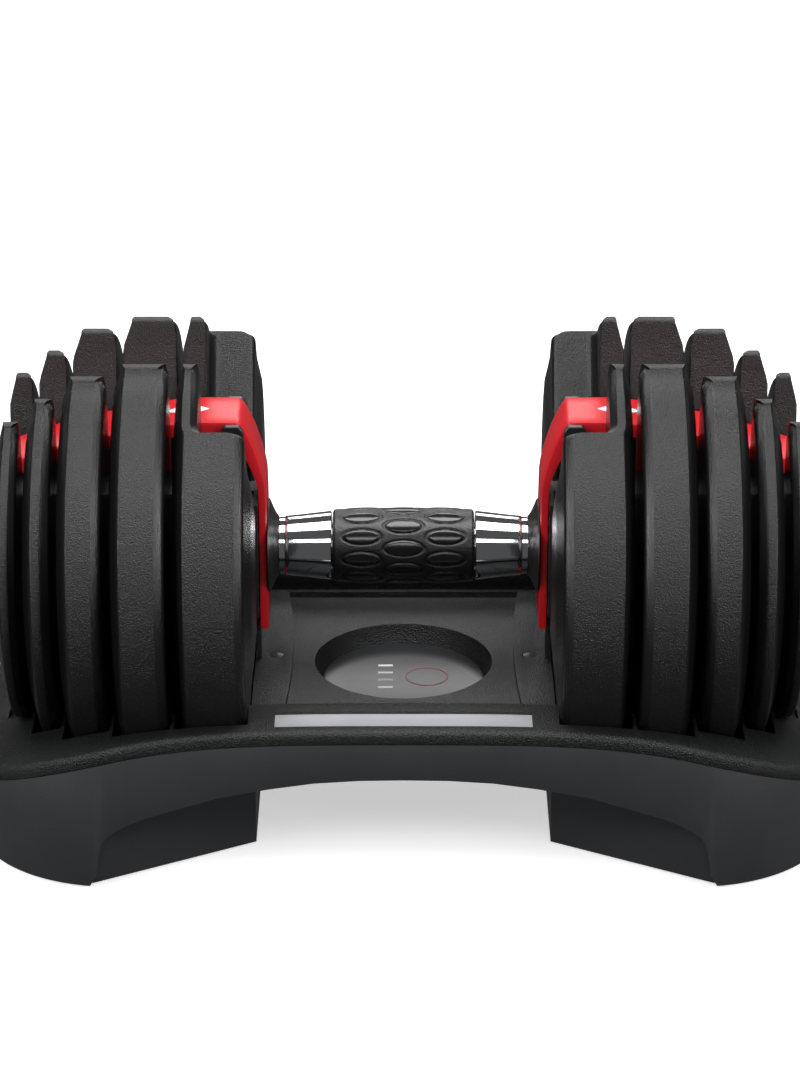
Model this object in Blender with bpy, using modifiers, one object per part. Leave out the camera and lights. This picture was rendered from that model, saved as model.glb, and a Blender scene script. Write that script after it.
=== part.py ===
"""Adjustable dumbbell in its cradle tray, built from separate pieces.

World frame: origin on the floor under the middle of the handle, X along the handle,
-Y towards the front, +Z up.  Right-hand pieces are modelled and then reflected to the left.
"""
import math

import bmesh
import bpy
from mathutils import Matrix, Vector

MM = 0.001
FIT = 0.3 * MM                  # gap between pieces that touch

# Handle, counted outwards from the middle of the grip
AXIS_Z = 124 * MM               # height of the handle's axis in the tray
GRIP_HALF = 32.8 * MM
GRIP_END_R = 16.7 * MM
GRIP_MIDDLE_R = 17.6 * MM
COLLAR_GAP = 0.5 * MM
COLLAR_LENGTH = 24.1 * MM
COLLAR_GRIP_R = 16.0 * MM
COLLAR_HUB_R = 13.3 * MM
HUB_LENGTH = 4.7 * MM
HUB_SMALL_R = 14.3 * MM
HUB_LARGE_R = 22.0 * MM
BAR_R = 10.0 * MM
AXLE_R = 7.0 * MM

# Weight plates: thickness and radius, from the inner plate outwards
PLATES = [(32 * MM, 105.5 * MM), (25 * MM, 105.5 * MM), (20.5 * MM, 100 * MM),
          (13 * MM, 90 * MM), (11 * MM, 80 * MM)]
PLATE_GAP = 3.0 * MM
PLATE_BEVEL_AXIAL = 4.0 * MM
PLATE_BEVEL_RADIAL = 8.0 * MM
SLOT_R = 29.0 * MM              # half width of the slot, and its round bottom
CASING_WALL = 4.0 * MM          # between the slot and the steel core
CASING_RIM = 8.0 * MM           # between the core and the rim
# Outer face over the core, plate by plate: it sets the core's thickness and so the weight
CASING_FACES = [3.5 * MM, 10.5 * MM, 3.5 * MM, 3.0 * MM, 3.0 * MM]
CORE_GAP = 1.0 * MM
CORE_STEPS = 20
NOTCH_ANGLE = math.radians(51)  # shoulders of the inner plate, over the horizontal
NOTCH_DEPTH = 21.0 * MM         # along the handle, from the inner face

# Selector: sleeve with index wheel, one disc a plate, and the lift tab it catches
SETTINGS = 15
SLEEVE_R = 12.0 * MM
AXLE_PLAY = 0.4 * MM
DISC_R = 45.0 * MM
END_DISC_PLAY = 2.0 * MM        # between the end disc's edge and the slot
DISC_WEB = 1.6 * MM
DISC_PLAY = 0.7 * MM            # between a plate and its disc
END_DISC_INSET = 1.2 * MM       # the end disc sits inside the last plate's slot
RIM_TO_SLOT = 3.0 * MM
RIM_THICKNESS = 2.8 * MM
RIM_LENGTH = 4.0 * MM
RIM_ROOT = 0.5 * MM
TAB_THICKNESS = 3.0 * MM
TAB_HALF_WIDTH = 2.8 * MM
HOOK_TO_RIM = 1.2 * MM
HOOK_THICKNESS = 2.5 * MM
TAB_PLAY = 0.6 * MM
# Settings at which each disc carries its plate, lightest setting first
CARRIED = [(8, 9, 10, 11, 12, 13, 14), (12, 13, 14), (4, 5, 6, 7, 10, 11, 12, 13, 14),
           (2, 3, 6, 7, 9, 11, 13, 14), (1, 3, 5, 7, 14)]
FULL_LABEL_ANGLE = math.radians(90)     # from the front, over the top, with all plates picked

# Lock: wheel on the sleeve, slide around it, spring and its housing
WHEEL_GAP = 0.5 * MM
WHEEL_THICKNESS = 2.2 * MM
WHEEL_R = 22.0 * MM
WHEEL_NOTCH_DEPTH = 3.8 * MM
WHEEL_TO_PLATE = 1.1 * MM
SLIDE_PLAY = 0.8 * MM
SLIDE_RIM = 2.2 * MM
SLIDE_TOP = 30.0 * MM
SLIDE_FOOT = 38.0 * MM
FOOT_HALF_WIDTH = 6.0 * MM
TOOTH_HALF_WIDTH = 1.5 * MM
TOOTH_FLARE = 0.2 * MM
LEDGE_THICKNESS = 2.0 * MM
LEDGE_REACH = 13.0 * MM
SPRING_R = 3.2 * MM
SPRING_WIRE_R = 0.6 * MM
SPRING_TURNS = 5
SPRING_TURN_POINTS = 7
HOUSING_BOTTOM = 52.0 * MM
HOUSING_HEIGHT = 4.0 * MM
HOUSING_LENGTH = 12.5 * MM
HOUSING_SIDE_GAP = 1.0 * MM

# Red cover
COVER_WALL = 3.5 * MM
COVER_SIDE_GAP = 12.0 * MM       # to the plates' slot
COVER_BOTTOM = 35.0 * MM
COVER_SKIRT = 3.0 * MM
BAR_DEPTH = 6.5 * MM
FIN_THICKNESS = 1.6 * MM
FIN_TO_DISC = 1.5 * MM
# Height of the cover's bar over the axis, less the radius of the plate below it
COVER_DROP = [-37.7 * MM, -40.5 * MM, -40.5 * MM, -36.0 * MM, -31.5 * MM]

# Dial
DIAL_GAP = 1.5 * MM
DIAL_LENGTH = 30.0 * MM
DIAL_R = 49.0 * MM
DIAL_NOSE_R = 45.7 * MM
DIAL_FACE_R = 39.0 * MM
DIAL_RECESS_R = 18.0 * MM
DIAL_RECESS_DEPTH = 10.0 * MM
DIAL_WALL = 3.4 * MM
SCREW_HEAD_R = 9.0 * MM
SCREW_HEAD = 4.0 * MM
SCREW_R = 3.0 * MM
SCREW_LENGTH = 14.0 * MM

# Tray
TRAY_HALF_DEPTH = 105.5 * MM
TRAY_END_MARGIN = 14.5 * MM     # beyond the last plate
CORNER_LENGTH = 68.0 * MM
CORNER_DEPTH = 65.0 * MM
TRAY_TOP = 79.0 * MM
TRAY_FALL = 30.0 * MM           # how much lower the rim is near the ends
TRAY_FALL_POWER = 3.5
BAND = 6.3 * MM                 # height of the deck's rim band
BASE_WALL = 3.5 * MM
BASE_BOTTOM = 1.2 * MM
BASE_FLOOR = 4.0 * MM
POD_TO_PLATE = 1.0 * MM
POD_INNER_Y = 60.0 * MM
POD_CORNER = 54.0 * MM          # from the tray's end to the arch's foot
POD_WALL = 3.0 * MM
# Arch at the front and back: share of the way from the middle to its foot, height in mm
ARCH = [(0, 55), (0.278, 53.4), (0.417, 50.5), (0.576, 46), (0.699, 40.6), (0.811, 35.3), (0.899, 29),
        (0.941, 22.8), (0.96, 6.8), (1, -3)]
ROOF_BOTTOM = 57.0 * MM
WELL_RADIAL = 1.0 * MM
WELL_SIDE = 0.6 * MM
WELL_RIB_DEPTH = 13.0 * MM
WELL_SHELL = 3.0 * MM
BASIN_HALF_DEPTH = 76.0 * MM
BASIN_Z = 68.0 * MM
BASIN_FLOOR = 6.0 * MM
PLATFORM_Z = 65.0 * MM
PLATFORM_HALF_DEPTH = 73.0 * MM
PLATFORM_MARGIN = 10.4 * MM     # from the wells to the platform's ends
PLATFORM_WAIST = 4.0 * MM       # how far the sides curve in
DISH_R = 42.0 * MM
DISH_FLOOR_R = 38.5 * MM
DISH_Z = 54.5 * MM
DISH_SHELL = 3.5 * MM
DISH_INSERT = 1.8 * MM
POST_HALF_WIDTH = 4.0 * MM
DECK_SCREW_MARGIN = 6.9 * MM    # from the wells
DECK_SCREW_R = 3.2 * MM
DECK_SHANK_R = 1.6 * MM
PAD_MARGIN = 48.0 * MM          # from the tray's end
PAD_Y = 72.0 * MM
PAD_R = 9.0 * MM
PAD_HEIGHT = 3.5 * MM

FINISHES = {                    # colour, roughness, metallic
    "grey shell": ((0.26, 0.27, 0.29), 0.45, 0.0),
    "black shell": ((0.02, 0.02, 0.022), 0.55, 0.0),
    "black plate": ((0.025, 0.025, 0.027), 0.45, 0.0),
    "red cover": ((0.72, 0.02, 0.03), 0.35, 0.0),
    "rubber": ((0.03, 0.03, 0.03), 0.8, 0.0),
    "chrome": ((0.8, 0.8, 0.82), 0.08, 1.0),
    "steel": ((0.45, 0.45, 0.46), 0.35, 1.0),
    "dark disc": ((0.04, 0.04, 0.045), 0.35, 0.0),
    "nylon": ((0.75, 0.75, 0.72), 0.5, 0.0),
}


# ---------------------------------------------------------------- places that follow

COLLAR_X0 = GRIP_HALF + COLLAR_GAP
COLLAR_X1 = COLLAR_X0 + COLLAR_LENGTH
HUB_X0 = COLLAR_X1 + FIT
HUB_X1 = HUB_X0 + HUB_LENGTH
COVER_X0 = HUB_X1 + FIT
COVER_X1 = COVER_X0 + COVER_WALL
WHEEL_X0 = COVER_X1 + WHEEL_GAP
WHEEL_X1 = WHEEL_X0 + WHEEL_THICKNESS
PLATES_X0 = WHEEL_X1 + WHEEL_TO_PLATE


def plate_places():
    """Inner face, outer face and radius of each plate."""
    places = []
    x = PLATES_X0
    for thickness, radius in PLATES:
        places.append((x, x + thickness, radius))
        x += thickness + PLATE_GAP
    return places


PLACES = plate_places()
PLATES_X1 = PLACES[-1][1]
DIAL_X0 = PLATES_X1 + DIAL_GAP
AXLE_X1 = DIAL_X0 + DIAL_LENGTH - DIAL_RECESS_DEPTH + FIT
HOUSING_X0 = PLATES_X0 + COVER_WALL + 1.0 * MM
SPRING_X = HOUSING_X0 + SPRING_R + SPRING_WIRE_R
TRAY_END = PLATES_X1 + TRAY_END_MARGIN
WELL_X0 = PLATES_X0 - WELL_SIDE
WHEEL_NOTCH_WIDTH = 2 * (TOOTH_HALF_WIDTH + TOOTH_FLARE + FIT)
BASIN_X = WELL_X0 - WELL_SHELL
POD_INNER_X = PLATES_X0 + POD_TO_PLATE
POD_OUTER_X = TRAY_END - POD_CORNER
PAD_X = TRAY_END - PAD_MARGIN
DECK_SCREW_X = BASIN_X - DECK_SCREW_MARGIN
COVER_HALF_WIDTH = SLOT_R - COVER_SIDE_GAP
HOUSING_HALF_WIDTH = COVER_HALF_WIDTH - COVER_SKIRT - HOUSING_SIDE_GAP
RIM_OUT_R = SLOT_R - RIM_TO_SLOT
RIM_IN_R = RIM_OUT_R - RIM_THICKNESS
HOOK_OUT_R = RIM_IN_R - HOOK_TO_RIM
HOOK_IN_R = HOOK_OUT_R - HOOK_THICKNESS
END_DISC_R = SLOT_R - END_DISC_PLAY
WELL_X1 = PLATES_X1 + WELL_SIDE


# ---------------------------------------------------------------- tools of the trade

def make_collection(name):
    """A new collection in the scene."""
    collection = bpy.data.collections.new(name)
    bpy.context.scene.collection.children.link(collection)
    return collection


def make_material(name, finish):
    """A plain material for one piece."""
    colour, roughness, metallic = FINISHES[finish]
    material = bpy.data.materials.new(name)
    material.use_nodes = True
    shader = material.node_tree.nodes["Principled BSDF"]
    shader.inputs["Base Color"].default_value = (*colour, 1.0)
    shader.inputs["Roughness"].default_value = roughness
    shader.inputs["Metallic"].default_value = metallic
    material.diffuse_color = (*colour, 1.0)
    return material


def add_piece(name, mesh, finish, place=(0, 0, 0)):
    """A piece of the object, with its own material."""
    piece = bpy.data.objects.new(name, mesh)
    piece.location = place
    PIECES.objects.link(piece)
    mesh.materials.append(make_material(name + "_finish", finish))
    return piece


def add_cutter(name, mesh, place=(0, 0, 0)):
    """A solid that shapes others and isn't part of the object."""
    cutter = bpy.data.objects.new(name, mesh)
    cutter.location = place
    cutter.hide_render = True
    cutter.display_type = "WIRE"
    CUTTERS.objects.link(cutter)
    return cutter


def combine(piece, tool, operation):
    """Cut, join or intersect a piece with another solid."""
    modifier = piece.modifiers.new(f"{operation.lower()} {tool.name}", "BOOLEAN")
    modifier.operation = operation
    modifier.solver = "EXACT"
    modifier.object = tool


def cut(piece, *tools):
    """Take solids away from a piece."""
    for tool in tools:
        combine(piece, tool, "DIFFERENCE")


def join(piece, *tools):
    """Add solids to a piece."""
    for tool in tools:
        combine(piece, tool, "UNION")


def mesh_from(bm, name):
    """Turn a bmesh into a mesh and free it."""
    mesh = bpy.data.meshes.new(name)
    bm.to_mesh(mesh)
    bm.free()
    return mesh


def box_mesh(name, *boxes):
    """One mesh of boxes, each given by its lowest and highest corner."""
    bm = bmesh.new()
    for low, high in boxes:
        middle = (Vector(low) + Vector(high)) / 2
        size = Vector(high) - Vector(low)
        bmesh.ops.create_cube(bm, size=1, matrix=Matrix.Translation(middle) @ Matrix.Diagonal((*size, 1)))
    return mesh_from(bm, name)


def rod_mesh(name, radius, start, end, sides=24):
    """A round rod between two points."""
    start, end = Vector(start), Vector(end)
    way = end - start
    turn = Vector((0, 0, 1)).rotation_difference(way).to_matrix().to_4x4()
    bm = bmesh.new()
    bmesh.ops.create_cone(bm, cap_ends=True, segments=sides, radius1=radius, radius2=radius,
                          depth=way.length, matrix=Matrix.Translation((start + end) / 2) @ turn)
    return mesh_from(bm, name)


def doubled_area(points):
    """Twice the signed area of a closed outline."""
    return sum(a[0] * b[1] - b[0] * a[1] for a, b in zip(points, points[1:] + points[:1]))


def turned_mesh(name, profile, along="X", steps=24, closed=True):
    """A solid of revolution about X or Z from (radius, along) points.

    An open profile starts and ends on the axis.
    """
    points = list(profile)
    if doubled_area(points) > 0:
        points.reverse()
    mesh = bpy.data.meshes.new(name)
    edges = [(i, i + 1) for i in range(len(points) - 1)]
    if closed:
        edges.append((len(points) - 1, 0))
    mesh.from_pydata([(r, 0, z) for r, z in points], edges, [])
    guide = bpy.data.objects.new(name, mesh)
    CUTTERS.objects.link(guide)
    screw = guide.modifiers.new("turn", "SCREW")
    screw.axis = "Z"
    screw.angle = math.tau
    screw.steps = steps
    screw.render_steps = steps
    screw.use_merge_vertices = True
    screw.merge_threshold = 0.00001
    screw.use_smooth_shade = False
    turned = evaluated_mesh(guide)
    if along == "X":
        turned.transform(Matrix.Rotation(math.pi / 2, 4, "Y"))
    bpy.data.objects.remove(guide)
    turned.name = name
    return turned


def evaluated_mesh(source):
    """The mesh of an object with its modifiers done, in the object's own coordinates."""
    bpy.context.view_layer.update()
    graph = bpy.context.evaluated_depsgraph_get()
    return bpy.data.meshes.new_from_object(source.evaluated_get(graph))


PLANES = {                      # where an outline's two directions and its thickness point
    "XY": Matrix(((1, 0, 0, 0), (0, 1, 0, 0), (0, 0, 1, 0), (0, 0, 0, 1))),
    "XZ": Matrix(((1, 0, 0, 0), (0, 0, -1, 0), (0, 1, 0, 0), (0, 0, 0, 1))),
    "YZ": Matrix(((0, 0, 1, 0), (1, 0, 0, 0), (0, 1, 0, 0), (0, 0, 0, 1))),
}


def outline_mesh(name, outline, low, high, plane):
    """A flat outline given a thickness from low to high across its plane."""
    curve = bpy.data.curves.new(name, "CURVE")
    curve.dimensions = "2D"
    curve.fill_mode = "BOTH"
    curve.extrude = (high - low) / 2
    spline = curve.splines.new("POLY")
    spline.points.add(len(outline) - 1)
    spline.use_cyclic_u = True
    for point, (u, v) in zip(spline.points, outline):
        point.co = (u, v, 0, 1)
    guide = bpy.data.objects.new(name, curve)
    CUTTERS.objects.link(guide)
    mesh = evaluated_mesh(guide)
    bpy.data.objects.remove(guide)
    bpy.data.curves.remove(curve)
    bm = bmesh.new()
    bm.from_mesh(mesh)
    bpy.data.meshes.remove(mesh)
    bmesh.ops.remove_doubles(bm, verts=bm.verts, dist=0.00001)
    bmesh.ops.recalc_face_normals(bm, faces=bm.faces)
    across = -(low + high) / 2 if plane == "XZ" else (low + high) / 2
    bm.transform(PLANES[plane] @ Matrix.Translation((0, 0, across)))
    return mesh_from(bm, name)


def arc(centre, radius, start, end, count):
    """Points on an arc, angles in degrees; radius may be a pair for an ellipse."""
    across, along = radius if isinstance(radius, tuple) else (radius, radius)
    angles = [math.radians(start + (end - start) * i / count) for i in range(count + 1)]
    return [(centre[0] + across * math.cos(a), centre[1] + along * math.sin(a)) for a in angles]


def reflect_left(right):
    """The left-hand twin of a right-hand piece."""
    bm = bmesh.new()
    bm.from_mesh(evaluated_mesh(right))
    bmesh.ops.remove_doubles(bm, verts=bm.verts, dist=0.000001)
    bmesh.ops.reverse_faces(bm, faces=bm.faces)
    bm.transform(Matrix.Diagonal((-1, 1, 1, 1)))
    mesh = mesh_from(bm, right.name)
    name = right.name.replace("_right", "_left")
    mesh.name = name
    twin = bpy.data.objects.new(name, mesh)
    x, y, z = right.location
    twin.location = (-x, y, z)
    mesh.materials.clear()
    mesh.materials.append(right.data.materials[0].copy())
    mesh.materials[0].name = name + "_finish"
    PIECES.objects.link(twin)
    return twin


ON_AXIS = (0, 0, AXIS_Z)


# ---------------------------------------------------------------- handle

def build_handle():
    """Shaft, grip, collars and hubs."""
    half = [(BAR_R, 0), (BAR_R, HUB_X1), (AXLE_R, HUB_X1), (AXLE_R, AXLE_X1),
            (SCREW_R + FIT, AXLE_X1), (SCREW_R + FIT, AXLE_X1 - SCREW_LENGTH)]
    right_side = half[1:] + [(0, AXLE_X1 - SCREW_LENGTH)]
    left_side = [(r, -x) for r, x in reversed(right_side)]
    add_piece("handle_bar", turned_mesh("handle_bar", left_side + right_side, steps=20, closed=False),
              "steel", ON_AXIS)
    bore = BAR_R + FIT
    barrel = [(GRIP_END_R, -GRIP_HALF), (GRIP_MIDDLE_R, -GRIP_HALF / 3),
              (GRIP_MIDDLE_R, GRIP_HALF / 3), (GRIP_END_R, GRIP_HALF)]
    ends = [(bore, GRIP_HALF), (bore, -GRIP_HALF)]
    add_piece("grip", turned_mesh("grip", barrel + ends, steps=20), "rubber", ON_AXIS)
    collar = [(bore, COLLAR_X0), (COLLAR_GRIP_R, COLLAR_X0), (COLLAR_HUB_R, COLLAR_X1), (bore, COLLAR_X1)]
    hub = [(bore, HUB_X0), (HUB_SMALL_R, HUB_X0), (HUB_LARGE_R, HUB_X1), (bore, HUB_X1)]
    return [add_piece("collar_right", turned_mesh("collar_right", collar, steps=20), "chrome", ON_AXIS),
            add_piece("hub_right", turned_mesh("hub_right", hub, steps=20), "black shell", ON_AXIS)]


def cover_top():
    """Top line of the red cover's bar, from the shoulder outwards, as (x, height over the axis)."""
    middles = [(x0 + x1) / 2 for x0, x1, _ in PLACES]
    heights = [radius + drop for (_, _, radius), drop in zip(PLACES, COVER_DROP)]
    points = [(PLACES[0][1] - 2 * MM, heights[0])]
    points += list(zip(middles[1:], heights[1:]))
    last_slope = (points[-1][1] - points[-2][1]) / (points[-1][0] - points[-2][0])
    end = PLATES_X1 + 0.5 * MM
    return points + [(end, points[-1][1] + last_slope * (end - points[-1][0]))]


def build_cover():
    """Red cover: inner plate, curved shoulder and bar with fins between the plates."""
    top = cover_top()
    peak = top[0][1]
    shoulder = (PLATES_X0 + 6 * MM, peak)
    outer = [(COVER_X0, -COVER_BOTTOM), (COVER_X0, peak - 36 * MM), (COVER_X0 + 1.2 * MM, peak - 28 * MM),
             (COVER_X0 + 4.5 * MM, peak - 16 * MM), (COVER_X0 + 8.5 * MM, peak - 6 * MM), shoulder]
    under = [(x, h - BAR_DEPTH) for x, h in reversed(top)]
    inner = [(HOUSING_X0 + 1 * MM, peak - BAR_DEPTH), (COVER_X1 + 3.5 * MM, peak - 26 * MM),
             (COVER_X1, peak - 38 * MM), (COVER_X1, -COVER_BOTTOM)]
    outline = outer + top + under + inner
    mesh = outline_mesh("cover_right", outline, -COVER_HALF_WIDTH, COVER_HALF_WIDTH, "XZ")
    cover = add_piece("cover_right", mesh, "red cover", ON_AXIS)
    ceiling = [(x, h - COVER_SKIRT) for x, h in top]
    end = (top[-1][0] - COVER_SKIRT, ceiling[-1][1] + 1 * MM)
    channel = [(HOUSING_X0 - 1 * MM, peak - 14 * MM), (HOUSING_X0 + 1.5 * MM, peak - 7 * MM),
               (HOUSING_X0 + 4 * MM, peak - COVER_SKIRT)]
    channel += ceiling[:-1] + [end, (end[0], DISC_R - 10 * MM), (HOUSING_X0 - 1 * MM, DISC_R - 10 * MM)]
    inside = COVER_HALF_WIDTH - COVER_SKIRT
    cutter = add_cutter("cover channel", outline_mesh("cover channel", channel, -inside, inside, "XZ"), ON_AXIS)
    fins = []
    for (_, x1, _), (start, height), (stop, next_height) in zip(PLACES[:-1], top, top[1:]):
        middle = x1 + PLATE_GAP / 2
        share = (middle - start) / (stop - start)
        ceiling_height = height + share * (next_height - height) - 1 * MM
        fins.append(((middle - FIN_THICKNESS / 2, -COVER_HALF_WIDTH + 1 * MM, DISC_R + FIN_TO_DISC),
                     (middle + FIN_THICKNESS / 2, COVER_HALF_WIDTH - 1 * MM, ceiling_height)))
    fin_tool = add_cutter("cover fins", box_mesh("cover fins", *fins), ON_AXIS)
    bore = add_cutter("cover bore", rod_mesh("cover bore", AXLE_R + AXLE_PLAY,
                      (COVER_X0 - COVER_WALL, 0, 0), (COVER_X1 + 1 * MM, 0, 0)), ON_AXIS)
    cut(cover, cutter, bore)
    join(cover, fin_tool)
    return cover


def build_lock():
    """Spring housing, lock spring and lock slide of the right side."""
    housing = add_piece("spring_housing_right", box_mesh(
        "spring_housing_right",
        ((HOUSING_X0, -HOUSING_HALF_WIDTH, HOUSING_BOTTOM),
         (HOUSING_X0 + HOUSING_LENGTH, HOUSING_HALF_WIDTH, HOUSING_BOTTOM + HOUSING_HEIGHT))),
        "black shell", ON_AXIS)
    window = WHEEL_R + SLIDE_PLAY
    wide = window + SLIDE_RIM
    tip = WHEEL_R + SLIDE_PLAY / 2
    top = SLIDE_TOP - LEDGE_THICKNESS * 2
    bottom = window + SLIDE_PLAY
    hole = [(-window, -bottom), (window, -bottom), (window, top), (TOOTH_HALF_WIDTH + TOOTH_FLARE, top),
            (TOOTH_HALF_WIDTH, tip), (-TOOTH_HALF_WIDTH, tip), (-TOOTH_HALF_WIDTH - TOOTH_FLARE, top),
            (-window, top)]
    base = -bottom - SLIDE_RIM * 2
    corner = base + SLIDE_RIM
    frame = [(-wide, corner), (-FOOT_HALF_WIDTH, base), (-FOOT_HALF_WIDTH, -SLIDE_FOOT),
             (FOOT_HALF_WIDTH, -SLIDE_FOOT), (FOOT_HALF_WIDTH, base), (wide, corner),
             (wide, SLIDE_TOP), (-wide, SLIDE_TOP)]
    slide = add_piece("lock_slide_right", outline_mesh(
        "lock_slide_right", frame, WHEEL_X0, WHEEL_X1, "YZ"), "nylon", ON_AXIS)
    window_tool = add_cutter("slide window", outline_mesh(
        "slide window", hole, WHEEL_X0 - 1 * MM, WHEEL_X1 + 1 * MM, "YZ"), ON_AXIS)
    cut(slide, window_tool)
    ledge = add_cutter("slide ledge", box_mesh(
        "slide ledge", ((WHEEL_X0 + 0.5 * MM, -FOOT_HALF_WIDTH, SLIDE_TOP - LEDGE_THICKNESS),
                        (WHEEL_X1 + LEDGE_REACH, FOOT_HALF_WIDTH, SLIDE_TOP - 0.2 * MM))), ON_AXIS)
    join(slide, ledge)
    low = SLIDE_TOP + FIT + SPRING_WIRE_R
    high = HOUSING_BOTTOM - FIT - SPRING_WIRE_R
    count = SPRING_TURNS * SPRING_TURN_POINTS
    curve = bpy.data.curves.new("lock_spring_right", "CURVE")
    curve.dimensions = "3D"
    curve.bevel_depth = SPRING_WIRE_R
    curve.bevel_resolution = 1
    curve.use_fill_caps = True
    spline = curve.splines.new("POLY")
    spline.points.add(count)
    coil_r = SPRING_R - SPRING_WIRE_R
    for i, point in enumerate(spline.points):
        angle = math.tau * i / SPRING_TURN_POINTS
        point.co = (SPRING_X + coil_r * math.cos(angle), coil_r * math.sin(angle),
                    low + (high - low) * i / count, 1)
    spring = bpy.data.objects.new("lock_spring_right", curve)
    spring.location = ON_AXIS
    PIECES.objects.link(spring)
    curve.materials.append(make_material("lock_spring_right_finish", "steel"))
    return [housing, slide, spring]


def build_dial():
    """Dial and end screw."""
    face = DIAL_X0 + DIAL_LENGTH
    recess = face - DIAL_RECESS_DEPTH
    bore = AXLE_R + AXLE_PLAY
    nose = face - 6 * MM
    profile = [(bore, DIAL_X0), (SLEEVE_R + 1 * MM, DIAL_X0), (SLEEVE_R + 1 * MM, recess - 5 * MM),
               (DIAL_RECESS_R + 6 * MM, recess + 2 * MM), (DIAL_RECESS_R + 6 * MM, face - DIAL_WALL),
               (DIAL_FACE_R, face - DIAL_WALL), (DIAL_R - DIAL_WALL, DIAL_X0), (DIAL_R, DIAL_X0),
               (DIAL_NOSE_R, nose), (DIAL_FACE_R, face), (DIAL_RECESS_R, face),
               (DIAL_RECESS_R - 1.5 * MM, recess), (bore, recess)]
    dial = add_piece("dial_right", turned_mesh("dial_right", profile, steps=20), "black shell", ON_AXIS)
    head = AXLE_X1 + FIT
    screw_profile = [(0, AXLE_X1 - SCREW_LENGTH + FIT), (SCREW_R, AXLE_X1 - SCREW_LENGTH + FIT),
                     (SCREW_R, head), (SCREW_HEAD_R, head), (SCREW_HEAD_R, head + SCREW_HEAD - 1 * MM),
                     (SCREW_HEAD_R - 1 * MM, head + SCREW_HEAD), (0, head + SCREW_HEAD)]
    screw = add_piece("end_screw_right", turned_mesh(
        "end_screw_right", screw_profile, steps=12, closed=False), "steel", ON_AXIS)
    return [dial, screw]


# ---------------------------------------------------------------- selector and plates

def disc_place(index):
    """Inner face of a disc's web and its radius."""
    outer_face = PLACES[index][1]
    if index == len(PLACES) - 1:
        return outer_face - END_DISC_INSET, END_DISC_R
    return outer_face + DISC_PLAY, DISC_R


def build_sleeve():
    """Selector sleeve with its notched index wheel."""
    bore = AXLE_R + AXLE_PLAY
    profile = [(bore, WHEEL_X0), (WHEEL_R, WHEEL_X0), (WHEEL_R, WHEEL_X1), (SLEEVE_R, WHEEL_X1),
               (SLEEVE_R, DIAL_X0 - 0.5 * MM), (bore, DIAL_X0 - 0.5 * MM)]
    sleeve = add_piece("selector_sleeve_right", turned_mesh(
        "selector_sleeve_right", profile, steps=SETTINGS), "nylon", ON_AXIS)
    bm = bmesh.new()
    middle = ((WHEEL_X0 + WHEEL_X1) / 2, 0, WHEEL_R)
    size = Matrix.Diagonal((WHEEL_THICKNESS + 1 * MM, WHEEL_NOTCH_WIDTH, 2 * WHEEL_NOTCH_DEPTH, 1))
    for i in range(SETTINGS):
        turn = Matrix.Rotation(math.tau * i / SETTINGS, 4, "X")
        bmesh.ops.create_cube(bm, size=1, matrix=turn @ Matrix.Translation(middle) @ size)
    cut(sleeve, add_cutter("wheel notches", mesh_from(bm, "wheel notches"), ON_AXIS))
    return sleeve


def open_runs(carried):
    """First and last setting of each run of settings at which a plate stays behind."""
    left = [i for i in range(SETTINGS) if i not in carried]
    runs = []
    for i in left:
        if runs and runs[-1][1] == i - 1:
            runs[-1][1] = i
        else:
            runs.append([i, i])
    return runs


def sector(first, last, radius):
    """Outline of a sector in (y, z) that opens the rim from one setting to another."""
    pitch = 360 / SETTINGS
    full = math.degrees(FULL_LABEL_ANGLE)
    # the front is 180 degrees in (y, z); a label at the top has its rim at the bottom
    angles = [180 - (full - (SETTINGS - 1 - i) * pitch) + 180 for i in (first, last)]
    start, end = max(angles) + pitch / 2, min(angles) - pitch / 2
    steps = max(2, round((start - end) / pitch))
    return [(0.0, 0.0)] + arc((0, 0), radius, start, end, steps)


def build_discs():
    """Selector discs, whose rims carry the plates at their settings."""
    discs = []
    for index, carried in enumerate(CARRIED):
        web, radius = disc_place(index)
        bore = SLEEVE_R + FIT
        profile = [(bore, web), (RIM_IN_R, web), (RIM_IN_R, web - RIM_LENGTH), (RIM_OUT_R, web - RIM_LENGTH),
                   (RIM_OUT_R, web), (radius, web), (radius, web + DISC_WEB), (bore, web + DISC_WEB)]
        name = f"selector_disc_{index + 1}_right"
        disc = add_piece(name, turned_mesh(name, profile, steps=SETTINGS), "nylon", ON_AXIS)
        for first, last in open_runs(carried):
            opening = outline_mesh(f"{name} opening {first}", sector(first, last, radius + 20 * MM),
                                   web - 2 * RIM_LENGTH, web - RIM_ROOT, "YZ")
            cut(disc, add_cutter(opening.name, opening, ON_AXIS))
        discs.append(disc)
    return discs


def slot_tool(name, half_width):
    """Cutter for the slot that runs from the axis up through a plate."""
    high = max(radius for _, radius in PLATES) * 2
    low_corner = (PLATES_X0 - 10 * MM, -half_width, 0)
    return add_cutter(name, box_mesh(name, (low_corner, (DIAL_X0 + 10 * MM, half_width, high))), ON_AXIS)


def notch_tool(name, drop, end):
    """Wedge cutter whose faces run from the axis to the inner plate's shoulders, set down by a drop."""
    low = -drop / math.cos(NOTCH_ANGLE)
    high = max(radius for _, radius in PLATES) * 2
    half = (high - low) / math.tan(NOTCH_ANGLE)
    outline = [(0.0, low), (half, high), (-half, high)]
    return add_cutter(name, outline_mesh(name, outline, PLATES_X0 - 5 * MM, end, "YZ"), ON_AXIS)


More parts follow.
